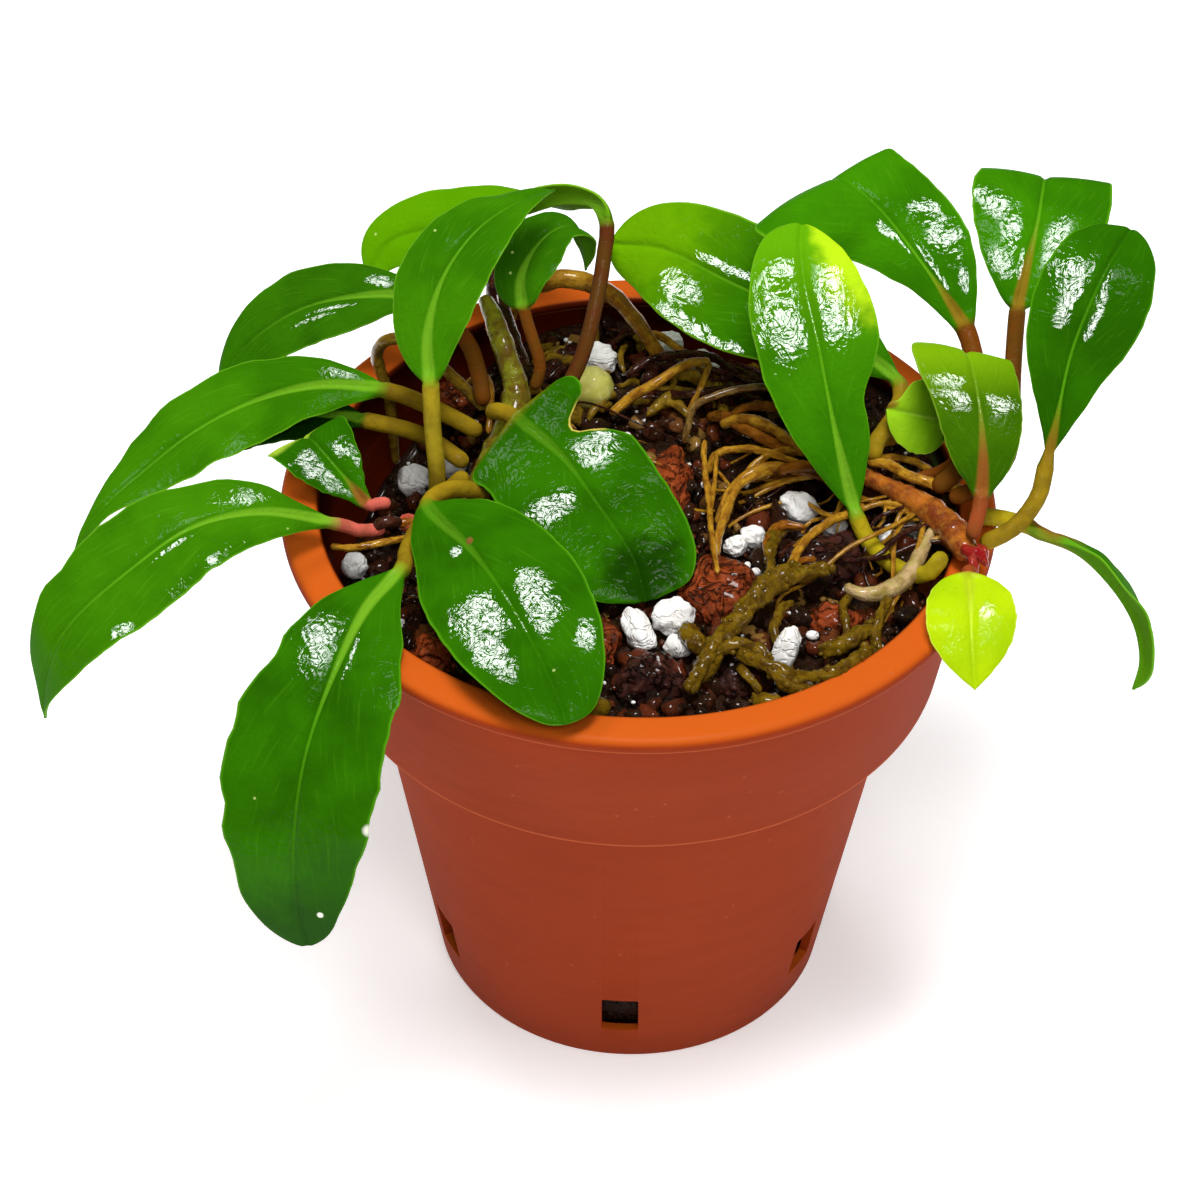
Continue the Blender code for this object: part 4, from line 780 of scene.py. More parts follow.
def stemRings(settings, sides, stepLength):
    look = {"knots": 0, "knotDepth": 0.1, "lumps": 0.1, **settings}
    dense, _ = smoothRoute(look["route"])
    lengths = routeLengths(dense)
    steps = max(8, round(lengths[-1] / stepLength))
    seed = sum(map(ord, look["name"])) * 0.31
    side = None
    rings, marks = [], {"travel": [], "round": []}
    for index in range(steps + 1):
        share = index / steps
        centre, tangent = placeAt(dense, lengths, share * lengths[-1])
        if side is None:
            side = tangent.cross(Vector((0.1, 0.2, 1.0))).normalized()
        side = (side - tangent * side.dot(tangent)).normalized()
        normal = side.cross(tangent)
        radius = blendList(look["radii"], share)
        if look["knots"]:
            swelling = max(math.cos(math.tau * share * look["knots"]), 0.0) ** 6 - 0.2
            radius *= 1.0 + look["knotDepth"] * swelling
        radius *= math.sqrt(1.0 - 0.94 * max(0.0, 1 - min(share, 1 - share) * lengths[-1] / radius) ** 2)
        ring = []
        for turn in range(sides):
            angle = math.tau * turn / sides
            way = side * math.cos(angle) + normal * math.sin(angle)
            bump = 1.0 + look["lumps"] * noise.noise(centre * 0.55 + way * 0.9 + Vector((seed, 0, 0)))
            bump += look["lumps"] * 0.7 * noise.noise(centre * 1.5 + way * 1.3 + Vector((0, seed, 0)))
            ring.append(centre + way * radius * bump)
        rings.append(ring)
        marks["travel"].append(share * lengths[-1])
        marks["round"].append([abs(turn / sides - 0.5) * 2 for turn in range(sides)])
    return rings, marks


stemSides, stemStep = 16, 0.45


def buildStem(look):
    skin = bmesh.new()
    rings, marks = stemRings(look, stemSides, stemStep)
    loft(skin, rings, marks)
    finishPiece(look["name"], skin, look["finish"], look["slot"], nodeName(look["name"]))


buildStem({
    "name": "rhizomeLeft", "slot": "stem_olive", "finish": sheathFinish, "route": [(-26, -5, 76),
        (-21, 0, 76), (-18, 6, 79), (-16, 12, 83), (-17.4, 16, 86.5), (-19, 20, 88.8), (-20.6, 24, 90)],
    "radii": [1.9, 2.1, 2.2, 1.9, 1.6, 1.5, 1], "knots": 5,
})
buildStem({
    "name": "rhizomeRight", "slot": "stem_brown", "finish": crownFinish, "route": [(23, 6, 79),
        (26, 3.5, 79.5), (30, 0.5, 80), (34, -2.5, 80), (38, -6.5, 80), (40, -10, 79.9),
        (41.3, -13.6, 79.9)], "radii": [0.8, 0.9, 1.1, 1.5, 1.9, 2, 1.6], "knots": 6,
})
buildStem({
    "name": "shootLeftPink", "slot": "shoot_pink", "finish": pinkFinish,
    "route": [(-27.4, -6.6, 76.9), (-30.2, -7, 78)], "radii": [1.2, 1.2],
})
buildStem({
    "name": "stalkDarkOld", "slot": "stem_brown", "finish": darkRootFinish,
    "route": [(-15.3, 18.5, 82.6), (-17.4, 23, 84.8), (-19.2, 28, 87.4), (-19, 33, 90), (-18.2, 36, 92)],
    "radii": [1.1, 1.3, 1.4, 1.3, 1],
})
buildStem({
    "name": "rootArchLeft", "slot": "stem_olive", "finish": oliveRootFinish,
    "route": [(-19.9, 12.4, 80.6), (-24, 15, 83.3), (-29, 17.6, 86.6), (-32.6, 18.4, 87),
        (-34.4, 19, 83.6), (-33, 18.8, 77), (-32.2, 18.4, 66)],
    "radii": [0.8, 0.8, 0.8, 0.8, 0.8, 0.7, 0.6],
})
buildStem({
    "name": "rootArchBack", "slot": "root_gold", "finish": goldRootFinish, "route": [(-18.5, 33, 76),
        (-17, 33.6, 82), (-13.4, 33, 85.4), (-9, 33, 86.2), (-4, 33, 83.5), (-0.5, 31.5, 80),
        (2.5, 29.5, 76)], "radii": [1, 1.2, 1.3, 1.3, 1.2, 1.1, 0.9],
})
buildStem({
    "name": "rootGoldBack", "slot": "root_gold", "finish": goldRootFinish,
    "route": [(-4, 17.5, 76), (-1, 19, 78), (2, 20, 79.5), (6, 23, 80.3), (9, 25, 79.3)],
    "radii": [0.6, 0.7, 0.7, 0.65, 0.55],
})
buildStem({
    "name": "rootDark", "slot": "stem_brown", "finish": darkRootFinish,
    "route": [(10.5, 28, 76.5), (14, 25, 77.5), (19, 19, 79), (23, 13, 79)], "radii": [0.9, 1, 1, 0.8],
})
buildStem({
    "name": "rootGreyArch", "slot": "root_gold", "finish": greyRootFinish, "route": [(5.8, 11.6, 76.2),
        (6.1, 12.4, 78), (7, 14, 80.5), (9.5, 15, 81.5), (13, 16, 82), (17, 16, 82.2), (22, 12.5, 82.3),
        (25.5, 7.5, 81.5)], "radii": [0.45, 0.5, 0.5, 0.5, 0.5, 0.5, 0.5, 0.5],
})
buildStem({
    "name": "rootGoldThick", "slot": "root_gold", "finish": orangeRootFinish,
    "route": [(9, 17.5, 76), (11, 15, 78), (14, 11, 79.2), (17, 8.5, 79.3), (20.3, 6.6, 79)],
    "radii": [0.7, 0.85, 0.85, 0.8, 0.7],
})
buildStem({
    "name": "rootGoldLow", "slot": "root_gold", "finish": goldRootFinish,
    "route": [(10, -3.5, 75.4), (12, 1.5, 77.3), (15, 4, 78.4), (18, 4.6, 78.6), (20.4, 3.8, 78.4)],
    "radii": [0.6, 0.7, 0.7, 0.7, 0.6],
})
buildStem({
    "name": "rootMossyLong", "slot": "stem_olive", "finish": mossyRootFinish,
    "route": [(24, -14.6, 78.6), (18, -18, 79), (13.5, -23, 78.6), (10.5, -28.5, 77.6), (8, -33.2, 76)],
    "radii": [0.9, 1.1, 1.1, 1.05, 0.9], "lumps": 0.5,
})
buildStem({
    "name": "rootMossyShort", "slot": "stem_olive", "finish": mossyRootFinish,
    "route": [(19.4, -5, 77), (17, -9.5, 79), (16.4, -14.3, 79.4)], "radii": [0.8, 0.9, 0.8],
    "lumps": 0.5,
})
buildStem({
    "name": "rootMossyFront", "slot": "stem_olive", "finish": mossyRootFinish,
    "route": [(12.4, -30, 78), (16, -32.4, 78.3), (20, -33.4, 77), (23, -31, 75.8)],
    "radii": [0.8, 0.9, 0.9, 0.8], "lumps": 0.5,
})
buildStem({
    "name": "rootMossyRight", "slot": "stem_olive", "finish": mossyRootFinish,
    "route": [(22.6, -27.8, 76.4), (26.3, -26.6, 77.2), (30, -21.5, 76)], "radii": [0.9, 1.1, 0.9],
    "lumps": 0.5,
})
buildStem({
    "name": "stipulePale", "slot": "stem_olive", "finish": stipuleFinish, "route": [(25.8, -17.2, 78),
        (27.6, -18.4, 77.8), (30.2, -18, 77.6), (33.4, -15.6, 77.8), (35.6, -11, 78.6), (37, -7.4, 79.2)],
    "radii": [0.6, 1.0, 1.2, 1.1, 0.9, 0.5],
})
print("stems and roots laid")


# stones and grains
def stoneMaterial(name, look):
    material, tree, shader = startMaterial(name + "Finish")
    place = objectPlace(tree)
    broad = grain(tree, place, 240.0, 4.0, 0.6)
    fine = grain(tree, place, 1100.0, 5.0, 0.7)
    pits = cells(tree, place, look["pits"], "SMOOTH_F1").outputs["Distance"]
    body = mixTones(tree, ramp(tree, broad, 0.35, 0.65), look["first"], look["second"])
    body = mixTones(tree, ramp(tree, fine, 0.5, 0.7, look["spots"]), body, look["spot"])
    # wandering furrows, where a twisted grain crosses its middle
    wander = grain(tree, place, look["pits"] * 0.42, 2.0, 0.5, 1.2)
    cracks = calc(tree, "ABSOLUTE", calc(tree, "SUBTRACT", wander, 0.5))
    # painted shade: the pits and furrows are darkened in the colour as well as in the relief
    body = mixTones(tree, ramp(tree, pits, 0.45, 0.05, look["dark"] * 0.5), body, look["pit"])
    body = mixTones(tree, ramp(tree, cracks, 0.035, 0.0, look["dark"]), body, look["pit"])
    tree.links.new(body, shader.inputs["Base Color"])
    skin = relief(tree, ramp(tree, cracks, 0.0, 0.07), look["depth"])
    skin = relief(tree, pits, look["depth"] * 0.4, 1.0, skin)
    skin = relief(tree, fine, look["depth"] * 0.5, 1.0, skin)
    tree.links.new(skin, shader.inputs["Normal"])
    low = calc(tree, "ADD", look["rough"], ramp(tree, fine, 0.3, 0.7, 0.3))
    tree.links.new(low, shader.inputs["Roughness"])
    setInputs(shader, {"Coat Weight": look["wet"], "Coat Roughness": 0.12, "Specular IOR Level": 0.2})
    return material


lavaRedFinish = stoneMaterial("lavaRed", {
    "first": tone(146, 62, 26), "second": tone(98, 38, 16), "spot": tone(176, 98, 50), "spots": 0.5,
    "pit": tone(24, 8, 4), "dark": 0.9, "pits": 700.0, "depth": 0.0005, "rough": 0.3, "wet": 0.6,
})
lavaDarkFinish = stoneMaterial("lavaDark", {
    "first": tone(66, 32, 24), "second": tone(36, 17, 15), "spot": tone(104, 62, 46), "spots": 0.4,
    "pit": tone(10, 4, 4), "dark": 0.9, "pits": 620.0, "depth": 0.0005, "rough": 0.28, "wet": 0.7,
})
perliteFinish = stoneMaterial("perlite", {
    "first": tone(244, 243, 240), "second": tone(232, 228, 222), "spot": tone(252, 252, 250),
    "spots": 0.6, "pit": tone(196, 176, 150), "dark": 0.12, "pits": 900.0, "depth": 0.00012, "rough": 0.6,
    "wet": 0.1,
})
pelletFinish = stoneMaterial("pellet", {
    "first": tone(214, 208, 116), "second": tone(186, 182, 80), "spot": tone(232, 230, 164), "spots": 0.3,
    "pit": tone(150, 140, 60), "dark": 0.15, "pits": 300.0, "depth": 0.0001, "rough": 0.3, "wet": 0.6,
})


def stoneSkin(direction, skinKind, seed):
    # how far the surface stands out or in, as a share of the radius
    if skinKind == "wrinkled":
        folds = abs(noise.noise(direction * 3.4 + seed)) + 0.5 * abs(noise.noise(direction * 7.5 + seed))
        return 0.22 * min(folds * 1.8, 0.6) - 0.1
    if skinKind == "puffed":
        coarse, fine = noise.noise(direction * 3.5 + seed), noise.noise(direction * 8.0 + seed)
        return 0.07 * coarse + 0.03 * fine - 0.02
    return 0.02 * noise.noise(direction * 4.0 + seed)


stoneKinds = {
    "lava_red": (lavaRedFinish, "wrinkled"), "lava_dark": (lavaDarkFinish, "wrinkled"),
    "perlite": (perliteFinish, "puffed"), "pellet": (pelletFinish, "smooth"),
}


def buildStone(name, slot, centre, half, turns, lumps, hasNode=True):
    finish, skinKind = stoneKinds[slot]
    skin = bmesh.new()
    bmesh.ops.create_icosphere(skin, subdivisions=5 if skinKind == "wrinkled" else 4, radius=1.0)
    seed = Vector((sum(map(ord, name)) * 0.37, 0.0, 0.0))
    turn = Matrix.Identity(3)
    for axis, angle in zip("XYZ", turns):
        turn = Matrix.Rotation(math.radians(angle), 3, axis) @ turn
    for vert in skin.verts:
        direction = vert.co.normalized()
        bump = 1.0 + lumps * noise.noise(direction * 1.9 + seed) * 2.0
        bump += stoneSkin(direction, skinKind, seed)
        spot = Vector([direction[axis] * half[axis] * bump for axis in range(3)])
        vert.co = turn @ spot + Vector(centre)
    finishPiece(name, skin, finish, slot, *([nodeName(name)] if hasNode else []))


# name, slot, centre, half sizes and turn in millimetres and degrees, and how lumpy it is
stones = [
    ("lavaRound", "lava_red", (10.5, -15.5, 74), (5.2, 5.2, 4.8), (0, 0, 0), 0.1),
    ("lavaFrontRed", "lava_red", (-5, -25, 73.8), (2.8, 4.4, 4), (0, 10, 10), 0.14),
    ("lavaFrontDark", "lava_dark", (2, -31.6, 74), (4.4, 3.5, 3.5), (0, 0, 10), 0.16),
    ("lavaFrontPlum", "lava_dark", (12.8, -31.2, 73), (3, 2.9, 2.8), (0, 0, 40), 0.16),
    ("lavaRightRough", "lava_dark", (23.4, -9.2, 73.8), (5, 4.2, 4.2), (0, -15, 20), 0.18),
    ("lavaRightRed", "lava_red", (24.8, -19.4, 73.6), (3.2, 2.7, 2.6), (0, 0, -20), 0.16),
    ("lavaLongRed", "lava_red", (3.4, 4.6, 73.4), (3.2, 8, 3.6), (0, 0, -12), 0.1),
    ("lavaLeftRed", "lava_red", (-24, -27, 73), (3.8, 3.6, 3.5), (0, 0, 0), 0.16),
    ("lavaBackOrange", "lava_red", (-25, 28, 69), (3, 2.9, 2.9), (0, 0, 0), 0.14),
    ("perliteCentreLong", "perlite", (0.3, -24.4, 76.2), (1.8, 3.1, 1.9), (25, 0, 30), 0.1),
    ("perliteCentreRound", "perlite", (4.6, -21.4, 76), (2.8, 2.3, 2.2), (0, -15, 15), 0.1),
    ("perliteCentreSmall", "perlite", (5.3, -26.2, 75.4), (1.9, 1.5, 1.5), (0, 0, 0), 0.08),
    ("perliteFrontLong", "perlite", (18.4, -27.6, 76.4), (1.6, 1.6, 3.3), (-20, 18, 0), 0.06),
    ("perliteRightBig", "perlite", (20.4, 0.3, 75.6), (2.6, 2.1, 2.1), (0, 0, -15), 0.1),
    ("perliteRightSmall", "perlite", (25, -2.6, 75.4), (1.6, 1.5, 1.5), (0, 0, -20), 0.1),
    ("perliteBackLeft", "perlite", (-5.6, 30, 75.2), (2.4, 2.3, 2.3), (0, 0, 0), 0.1),
    ("perliteBackRight", "perlite", (3.6, 35, 74), (2, 1.9, 1.9), (0, 0, 0), 0.08),
    ("perliteDeepLarge", "perlite", (-30, 19.2, 62.4), (2.3, 2.3, 2.3), (0, 0, 0), 0.05),
    ("perliteDeepSmall", "perlite", (-24.8, 20.6, 64), (2.1, 2, 2), (0, 0, 0), 0.06),
    ("perliteDeepFront", "perlite", (-37, 4.6, 60), (1.8, 1.8, 1.8), (0, 0, 0), 0.06),
    ("pelletPaleGreen", "pellet", (-6.6, 22.2, 76.6), (3, 2.9, 2.9), (0, 0, 0), 0.03),
]
for stone in stones:
    buildStone(*stone)
print("stones placed")


# substrate: a rough bed, then loose grains and crumbs on it
def gravelMaterial(look):
    material, tree, shader = startMaterial("gravelFinish")
    place = objectPlace(tree)
    tint = attribute(tree, "tint")
    broad = grain(tree, place, 190.0, 4.0, 0.6)
    fine = grain(tree, place, 1300.0, 4.0, 0.7)
    body = mixTones(tree, ramp(tree, broad, 0.35, 0.65), look["first"], look["second"])
    body = mixTones(tree, ramp(tree, tint, 0.6, 0.9, 0.9), body, look["warm"])
    body = mixTones(tree, ramp(tree, tint, 0.9, 0.97), body, look["pale"])
    body = mixTones(tree, ramp(tree, fine, 0.55, 0.75, 0.4), body, look["spot"])
    tree.links.new(body, shader.inputs["Base Color"])
    tree.links.new(relief(tree, fine, 0.0005), shader.inputs["Normal"])
    tree.links.new(calc(tree, "ADD", 0.18, ramp(tree, fine, 0.3, 0.7, 0.4)), shader.inputs["Roughness"])
    setInputs(shader, {"Coat Weight": look["wet"], "Coat Roughness": 0.1, "Specular IOR Level": 0.2})
    return material


gravelFinish = gravelMaterial({
    "first": tone(22, 11, 6), "second": tone(44, 23, 10), "warm": tone(92, 38, 16),
    "pale": tone(132, 98, 44), "spot": tone(78, 52, 24), "wet": 0.9,
})

bedShape = {
    "level": 74.0, "lump": 0.8, "lumpSize": 5.5,
    "dips": [(-36.0, 6.0, 18.0, 24.0, 16.6), (-24.0, 30.0, 12.0, 12.0, 4.0), (13.0, 40.0, 10.0, 9.0, 9.0)],
    "lowest": 56.1, "sides": 120, "rings": 56, "crumb": 0.55, "gap": 0.35, "edge": 39.5,
}


def bedHeight(x, y):
    level = bedShape["level"] + bedShape["lump"] * noise.noise(Vector((x, y, 0)) / bedShape["lumpSize"])
    for centreX, centreY, reachX, reachY, depth in bedShape["dips"]:
        level -= depth * math.exp(-((x - centreX) / reachX) ** 2 - ((y - centreY) / reachY) ** 2)
    return max(level, bedShape["lowest"])


def bedInside(height):
    # the radius of the collar's inner wall, less a small gap
    foot = potShape["collarFoot"] - potShape["wall"] - bedShape["gap"]
    return foot + (height - potShape["collarZ"]) * potShape["collarSlope"]


potShape = {
    "foot": 26.4, "bodyTop": 35.2, "collarFoot": 39.9, "collarTop": 43.2, "lip": 45.6, "lipInner": 40.6,
    "collarZ": 53.8, "lipUnderZ": 75.0, "lipTopZ": 77.3, "wall": 1.3, "floor": 1.4, "segments": 192,
    "windows": 6, "windowWidth": 4.9, "windowDepth": 5.2, "windowHeight": 7.0, "windowRound": 0.35,
    "windowZ": 9.7, "windowTurn": -1.8,
}
collarGrowth = potShape["collarTop"] - potShape["collarFoot"]
potShape["collarSlope"] = collarGrowth / (potShape["lipUnderZ"] - potShape["collarZ"])
potShape["bodySlope"] = (potShape["bodyTop"] - potShape["foot"]) / potShape["collarZ"]


def buildBed(look):
    angles = [math.tau * turn / look["sides"] for turn in range(look["sides"])]
    wall, foot, slope = potShape["wall"], potShape["foot"], potShape["bodySlope"]

    def flatRing(radius, height):
        return [Vector((radius * math.cos(angle), radius * math.sin(angle), height)) for angle in angles]

    low, ledge = potShape["floor"] + 0.4, potShape["collarZ"] + wall + 0.4
    inner = foot - wall - look["gap"]
    rings = [flatRing(inner - 1.9, low), flatRing(inner + slope * 3.3, low + 1.5),
             flatRing(inner + slope * 54.2, 54.2), flatRing(potShape["collarFoot"] - wall - 0.9, ledge),
             flatRing(bedInside(ledge + 0.4), ledge + 0.4)]
    edge = []
    for angle in angles:
        outward = Vector((math.cos(angle), math.sin(angle), 0))
        height = bedHeight(*(outward * look["edge"]).xy)
        edge.append(outward * bedInside(height) + Vector((0, 0, height)))
    rings.append(edge)
    for step in range(1, look["rings"]):
        share = 1 - step / look["rings"]
        ring = []
        for spot in edge:
            x, y = spot.x * share, spot.y * share
            crumb = noise.noise(Vector((x, y, 3.0)) * 0.9) + 0.7 * noise.noise(Vector((x, y, 9.0)) * 2.1)
            ring.append(Vector((x, y, bedHeight(x, y) - 0.5 + look["crumb"] * crumb)))
        rings.append(ring)
    skin = bmesh.new()
    loft(skin, rings, {"tint": [0.2] * len(rings)})
    finishPiece("substrateBed", skin, gravelFinish, "substrate", "substrate_bed")


buildBed(bedShape)

# round places that loose grains keep clear of: the perlite and the pellet
clearSpots = [
    (0.3, -24.4, 2.6), (4.6, -21.4, 2.6), (5.3, -26.2, 1.8), (18.4, -27.6, 2.4), (20.4, 0.3, 2.6),
    (25, -2.6, 1.6), (-5.6, 30, 2.6), (3.6, 35, 2.2), (-6.6, 22.2, 3.2), (-30, 19.2, 2.6),
    (-24.8, 20.6, 2.2), (-37, 4.6, 2.0), (10.5, -15.5, 4.6),
]
grainSettings = {"count": 2300, "least": 0.45, "most": 1.75, "reach": 39.6, "seed": 11}


def gather(skin, group):
    # adds a small group of shapes to the whole piece
    mesh = bpy.data.meshes.new("group")
    group.to_mesh(mesh)
    skin.from_mesh(mesh)
    bpy.data.meshes.remove(mesh)
    group.clear()


def scatterGrains(look):
    chance = random.Random(look["seed"])
    skin, group = bmesh.new(), bmesh.new()
    placed = 0
    while placed < look["count"]:
        angle, radius = chance.uniform(0, math.tau), look["reach"] * math.sqrt(chance.random())
        size = look["least"] + (look["most"] - look["least"]) * chance.random() ** 2.6
        x, y = radius * math.cos(angle), radius * math.sin(angle)
        shade = chance.random()
        spin = chance.uniform(0, math.tau)
        turn = Matrix.Rotation(spin, 4, Vector((chance.uniform(-1, 1), chance.uniform(-1, 1), 1)))
        stretch = (chance.uniform(0.75, 1.25), chance.uniform(0.75, 1.25), chance.uniform(0.6, 1.0), 1.0)
        squash = Matrix.Diagonal(stretch)
        if any((x - cx) ** 2 + (y - cy) ** 2 < (reach + size * 0.3) ** 2 for cx, cy, reach in clearSpots):
            continue
        height = bedHeight(x, y)
        if radius + size > bedInside(height):
            continue
        centre = Vector((x, y, height - 0.1 + size * chance.uniform(-0.1, 0.5)))
        place = Matrix.Translation(centre) @ turn @ squash
        tint = group.verts.layers.float.get("tint") or group.verts.layers.float.new("tint")
        fineness = 2 if size > 0.65 else 1
        made = bmesh.ops.create_icosphere(group, subdivisions=fineness, radius=size, matrix=place)
        for vert in made["verts"]:
            away = vert.co - centre
            vert.co = centre + away * (1.0 + 0.9 * noise.noise(vert.co * (1.3 / size)))
            vert[tint] = shade
        placed += 1
        if placed % 60 == 0 or placed == look["count"]:
            gather(skin, group)
    group.free()
    finishPiece("looseGravel", skin, gravelFinish, "substrate")


scatterGrains(grainSettings)

crumbSettings = {"count": 130, "least": 0.25, "most": 0.7, "reach": 38.5, "seed": 5}


def scatterCrumbs(look):
    # white perlite dust and crumbs between the grains
    chance = random.Random(look["seed"])
    skin = bmesh.new()
    for _ in range(look["count"]):
        angle, radius = chance.uniform(0, math.tau), look["reach"] * math.sqrt(chance.random())
        size = look["least"] + (look["most"] - look["least"]) * chance.random() ** 3
        x, y = radius * math.cos(angle), radius * math.sin(angle)
        centre = Vector((x, y, bedHeight(x, y) + 0.35 + size * 0.6))
        stretch = (chance.uniform(0.8, 1.3), chance.uniform(0.8, 1.2), chance.uniform(0.7, 1.0), 1.0)
        place = Matrix.Translation(centre) @ Matrix.Diagonal(stretch)
        bmesh.ops.create_icosphere(skin, subdivisions=2, radius=size, matrix=place)
    finishPiece("perliteCrumbs", skin, perliteFinish, "perlite")


scatterCrumbs(crumbSettings)


# small perlite that has no solid of its own
extraPerlite = {
    "perliteEdgeRight": ((32.4, -4.6, 75.2), (1.9, 1.6, 1.5)),
    "perliteEdgeBack": ((35.2, -2.4, 75.4), (1.8, 1.5, 1.5)),
    "perliteMiddle": ((14.6, -5.4, 75.4), (1.8, 1.5, 1.4)),
    "perliteTwin": ((12.4, -7.2, 75.2), (1.5, 1.4, 1.3)),
    "perliteSmall": ((21, -34, 75.4), (1.3, 1.1, 1.0)), "perliteRed": ((8, 30, 75), (2.4, 2.0, 1.6)),
}
for stoneName, (stoneCentre, stoneHalf) in extraPerlite.items():
    buildStone(stoneName, "perlite", stoneCentre, stoneHalf, (10, 20, 30), 0.12, hasNode=False)
print("substrate laid")


# fine roots: the ones that the photo shows one by one, then a tangle of hair roots
goldRoots = {
    "backRoot": [(0, 34, 76), (2, 32, 78), (6, 29, 77), (9, 27, 75)],
    "branchRoot": [(9, 25, 79), (8, 21, 78.6), (6, 17.7, 76)],
    "secondThick": [(10.5, 14, 77.5), (13, 12.6, 79.8), (16, 10.6, 80.6), (20.5, 6.5, 80.2),
        (24, 4.8, 79.4)],
    "paleLoop": [(9, 6, 76), (9.6, 7.6, 77.6), (12, 7.8, 78.6), (15.4, 6.8, 79.4), (20.6, 4.4, 79.4)],
    "lowGold": [(12.8, 2.6, 76.8), (14.7, 5, 78.4), (17.6, 6.4, 79.6), (21.2, 6, 79.8), (25, 3.6, 79.6)],
    "hangingRoot": [(8.3, 8, 80), (8.3, 4.4, 79.2), (8.9, -2, 78.6), (9.2, -8, 78.8), (9.5, -12.5, 79.6),
        (10, -17.4, 79.6)],
    "hangingTwin": [(9.9, 6.4, 79.4), (9.7, 2, 78.6), (9.2, -4, 78.2), (9.4, -9, 77.6)],
    "goldCurve": [(17, 4.4, 78), (12.8, 0.8, 78.6), (11.1, -4, 78), (10.1, -8, 77.2), (9.9, -11, 76.4)],
    "beadedRoot": [(28.6, -3, 79), (26.6, -5, 79.2), (24.1, -7.1, 79.6), (21.4, -10, 79.6),
        (19.9, -12.8, 79.2), (18.2, -17.4, 79)],
    "rimLoop": [(29, 6, 78.6), (31.4, 5.2, 80), (34.4, 4.6, 80.2), (36.8, 3, 80), (37.6, 0, 79.4)],
    "rimRoot": [(28.6, 6.6, 79), (30.6, 8, 80.2), (33.6, 8.8, 80.4), (36, 8, 79.4)],
    "rimOlive": [(29, 3.3, 81), (31.4, 2.2, 81.6), (33.8, -0.4, 82), (36.4, -1.8, 82), (38.7, -2.6, 82),
        (41, -3, 82)],
    "leftArc": [(-24, 22, 76), (-20.6, 20, 80), (-19.4, 15, 80.4), (-19.6, 10.6, 78)],
    "leftStrand": [(-38.6, -10.6, 76.6), (-35.6, -11.4, 77.2), (-32, -10.6, 77.4), (-28, -8.6, 77)],
}
orangeRoots = {
    "orangeBand": [(14, 4.4, 77), (18, 4.8, 78), (21.8, 3.4, 78.6), (26, 2, 78.6)],
    "orangeLow": [(17, 6.2, 75.5), (22, 5, 77.6), (27, 0, 77.8), (31, -1, 77.6)],
    "orangeThick": [(17.6, 3.4, 78.8), (21.2, 3.6, 79.6), (24.4, 2.6, 79.9), (27, 1.4, 79.8)],
    "orangeFork": [(16.4, -13.4, 79.4), (16.3, -11, 79.6), (17.9, -7.4, 79), (21.2, -7.6, 79)],
    "brownFork": [(22.4, -13, 78.6), (20, -14, 78.8), (17.6, -16.6, 79)],
    "brownStem": [(11, 16, 77), (14.2, 16.6, 78.6), (17.8, 15.8, 79), (22, 12, 79), (26, 7, 79)],
    "leftBrown": [(-30.4, -7.8, 78.2), (-27.6, -6.8, 78), (-25, -5, 77.6)],
}
darkRoots = {
    "darkBack": [(-2, 24, 77), (1, 26, 78.4), (5.4, 26.7, 79), (9.4, 26, 79), (12, 24.6, 78)],
    "longRoot": [(9, 28, 75.5), (16, 22, 78), (24, 13, 79.5), (31, 1, 79.6)],
    "redStem": [(21, 7, 75.6), (28, 2, 77.6), (33, -3, 78), (37, -6, 78.4)],
    "blackKnot": [(-33.4, -8.4, 78), (-32, -8.5, 78.9), (-30.8, -8, 78.7), (-29.6, -7.6, 78.3)],
    "knotSpur": [(-31.4, -8.2, 78.8), (-31.2, -6.8, 79.4)],
    "darkLow": [(2, 22, 76), (6, 20, 77.6), (11, 20.6, 78), (16, 18.6, 78)],
    "darkCross": [(20, 9, 76.8), (24, 9.4, 78.4), (28, 6.6, 79), (31.5, 3.4, 79)],
}
wetRoots = {
    "strandTop": [(20.6, -15, 78.8), (17.2, -17.6, 79.6), (14.4, -21, 79.4), (12.4, -24.6, 79)],
    "strandLow": [(12, -25.4, 78.6), (10, -28, 78.4), (8.6, -31, 77.6), (6.6, -35.4, 76)],
    "strandLink": [(9.4, -29.6, 77.8), (12.4, -29.2, 78.6), (15, -30, 78.6), (16.4, -32.5, 78),
        (18.6, -34.4, 77), (22.7, -34.4, 76)],
    "strandSpur": [(12.6, -31.4, 77.2), (14, -33.4, 77), (15.4, -35, 76)],
    "rimStrand": [(21.5, -31.6, 76.4), (23.4, -32.6, 77), (25.3, -31.4, 77.2), (27.8, -28.7, 77),
        (29.6, -26.6, 76)],
    "flatLump": [(6.2, -24.2, 76.6), (6.8, -26.4, 77.6), (8.4, -29.4, 77.2)],
    "frontLump": [(14.4, -36, 75.6), (16, -36.6, 76.2), (18, -36.6, 75.8)],
    "tipLump": [(-6.2, -37.4, 75), (-4.6, -37.8, 76), (-2.8, -37.9, 75.2)],
    "forkJoin": [(16.4, -13.8, 79.4), (16.6, -16, 79.6), (16.2, -18.6, 79.2)],
    "rightDown": [(31.2, -18.8, 77.6), (30.1, -22.2, 77.4), (29.5, -25, 76.8), (30, -28.3, 75.6)],
    "rightSecond": [(27, -17, 77), (25.6, -20.6, 77.4), (26, -24.6, 76.6), (25, -27, 75.6)],
    "midStrand": [(19.4, -19.4, 77), (17.8, -22, 77.8), (17, -25.4, 77.4), (18.2, -28.4, 76.4)],
}
rootThickness = {"gold": 0.5, "orange": 0.68, "dark": 0.6, "wet": 0.85}
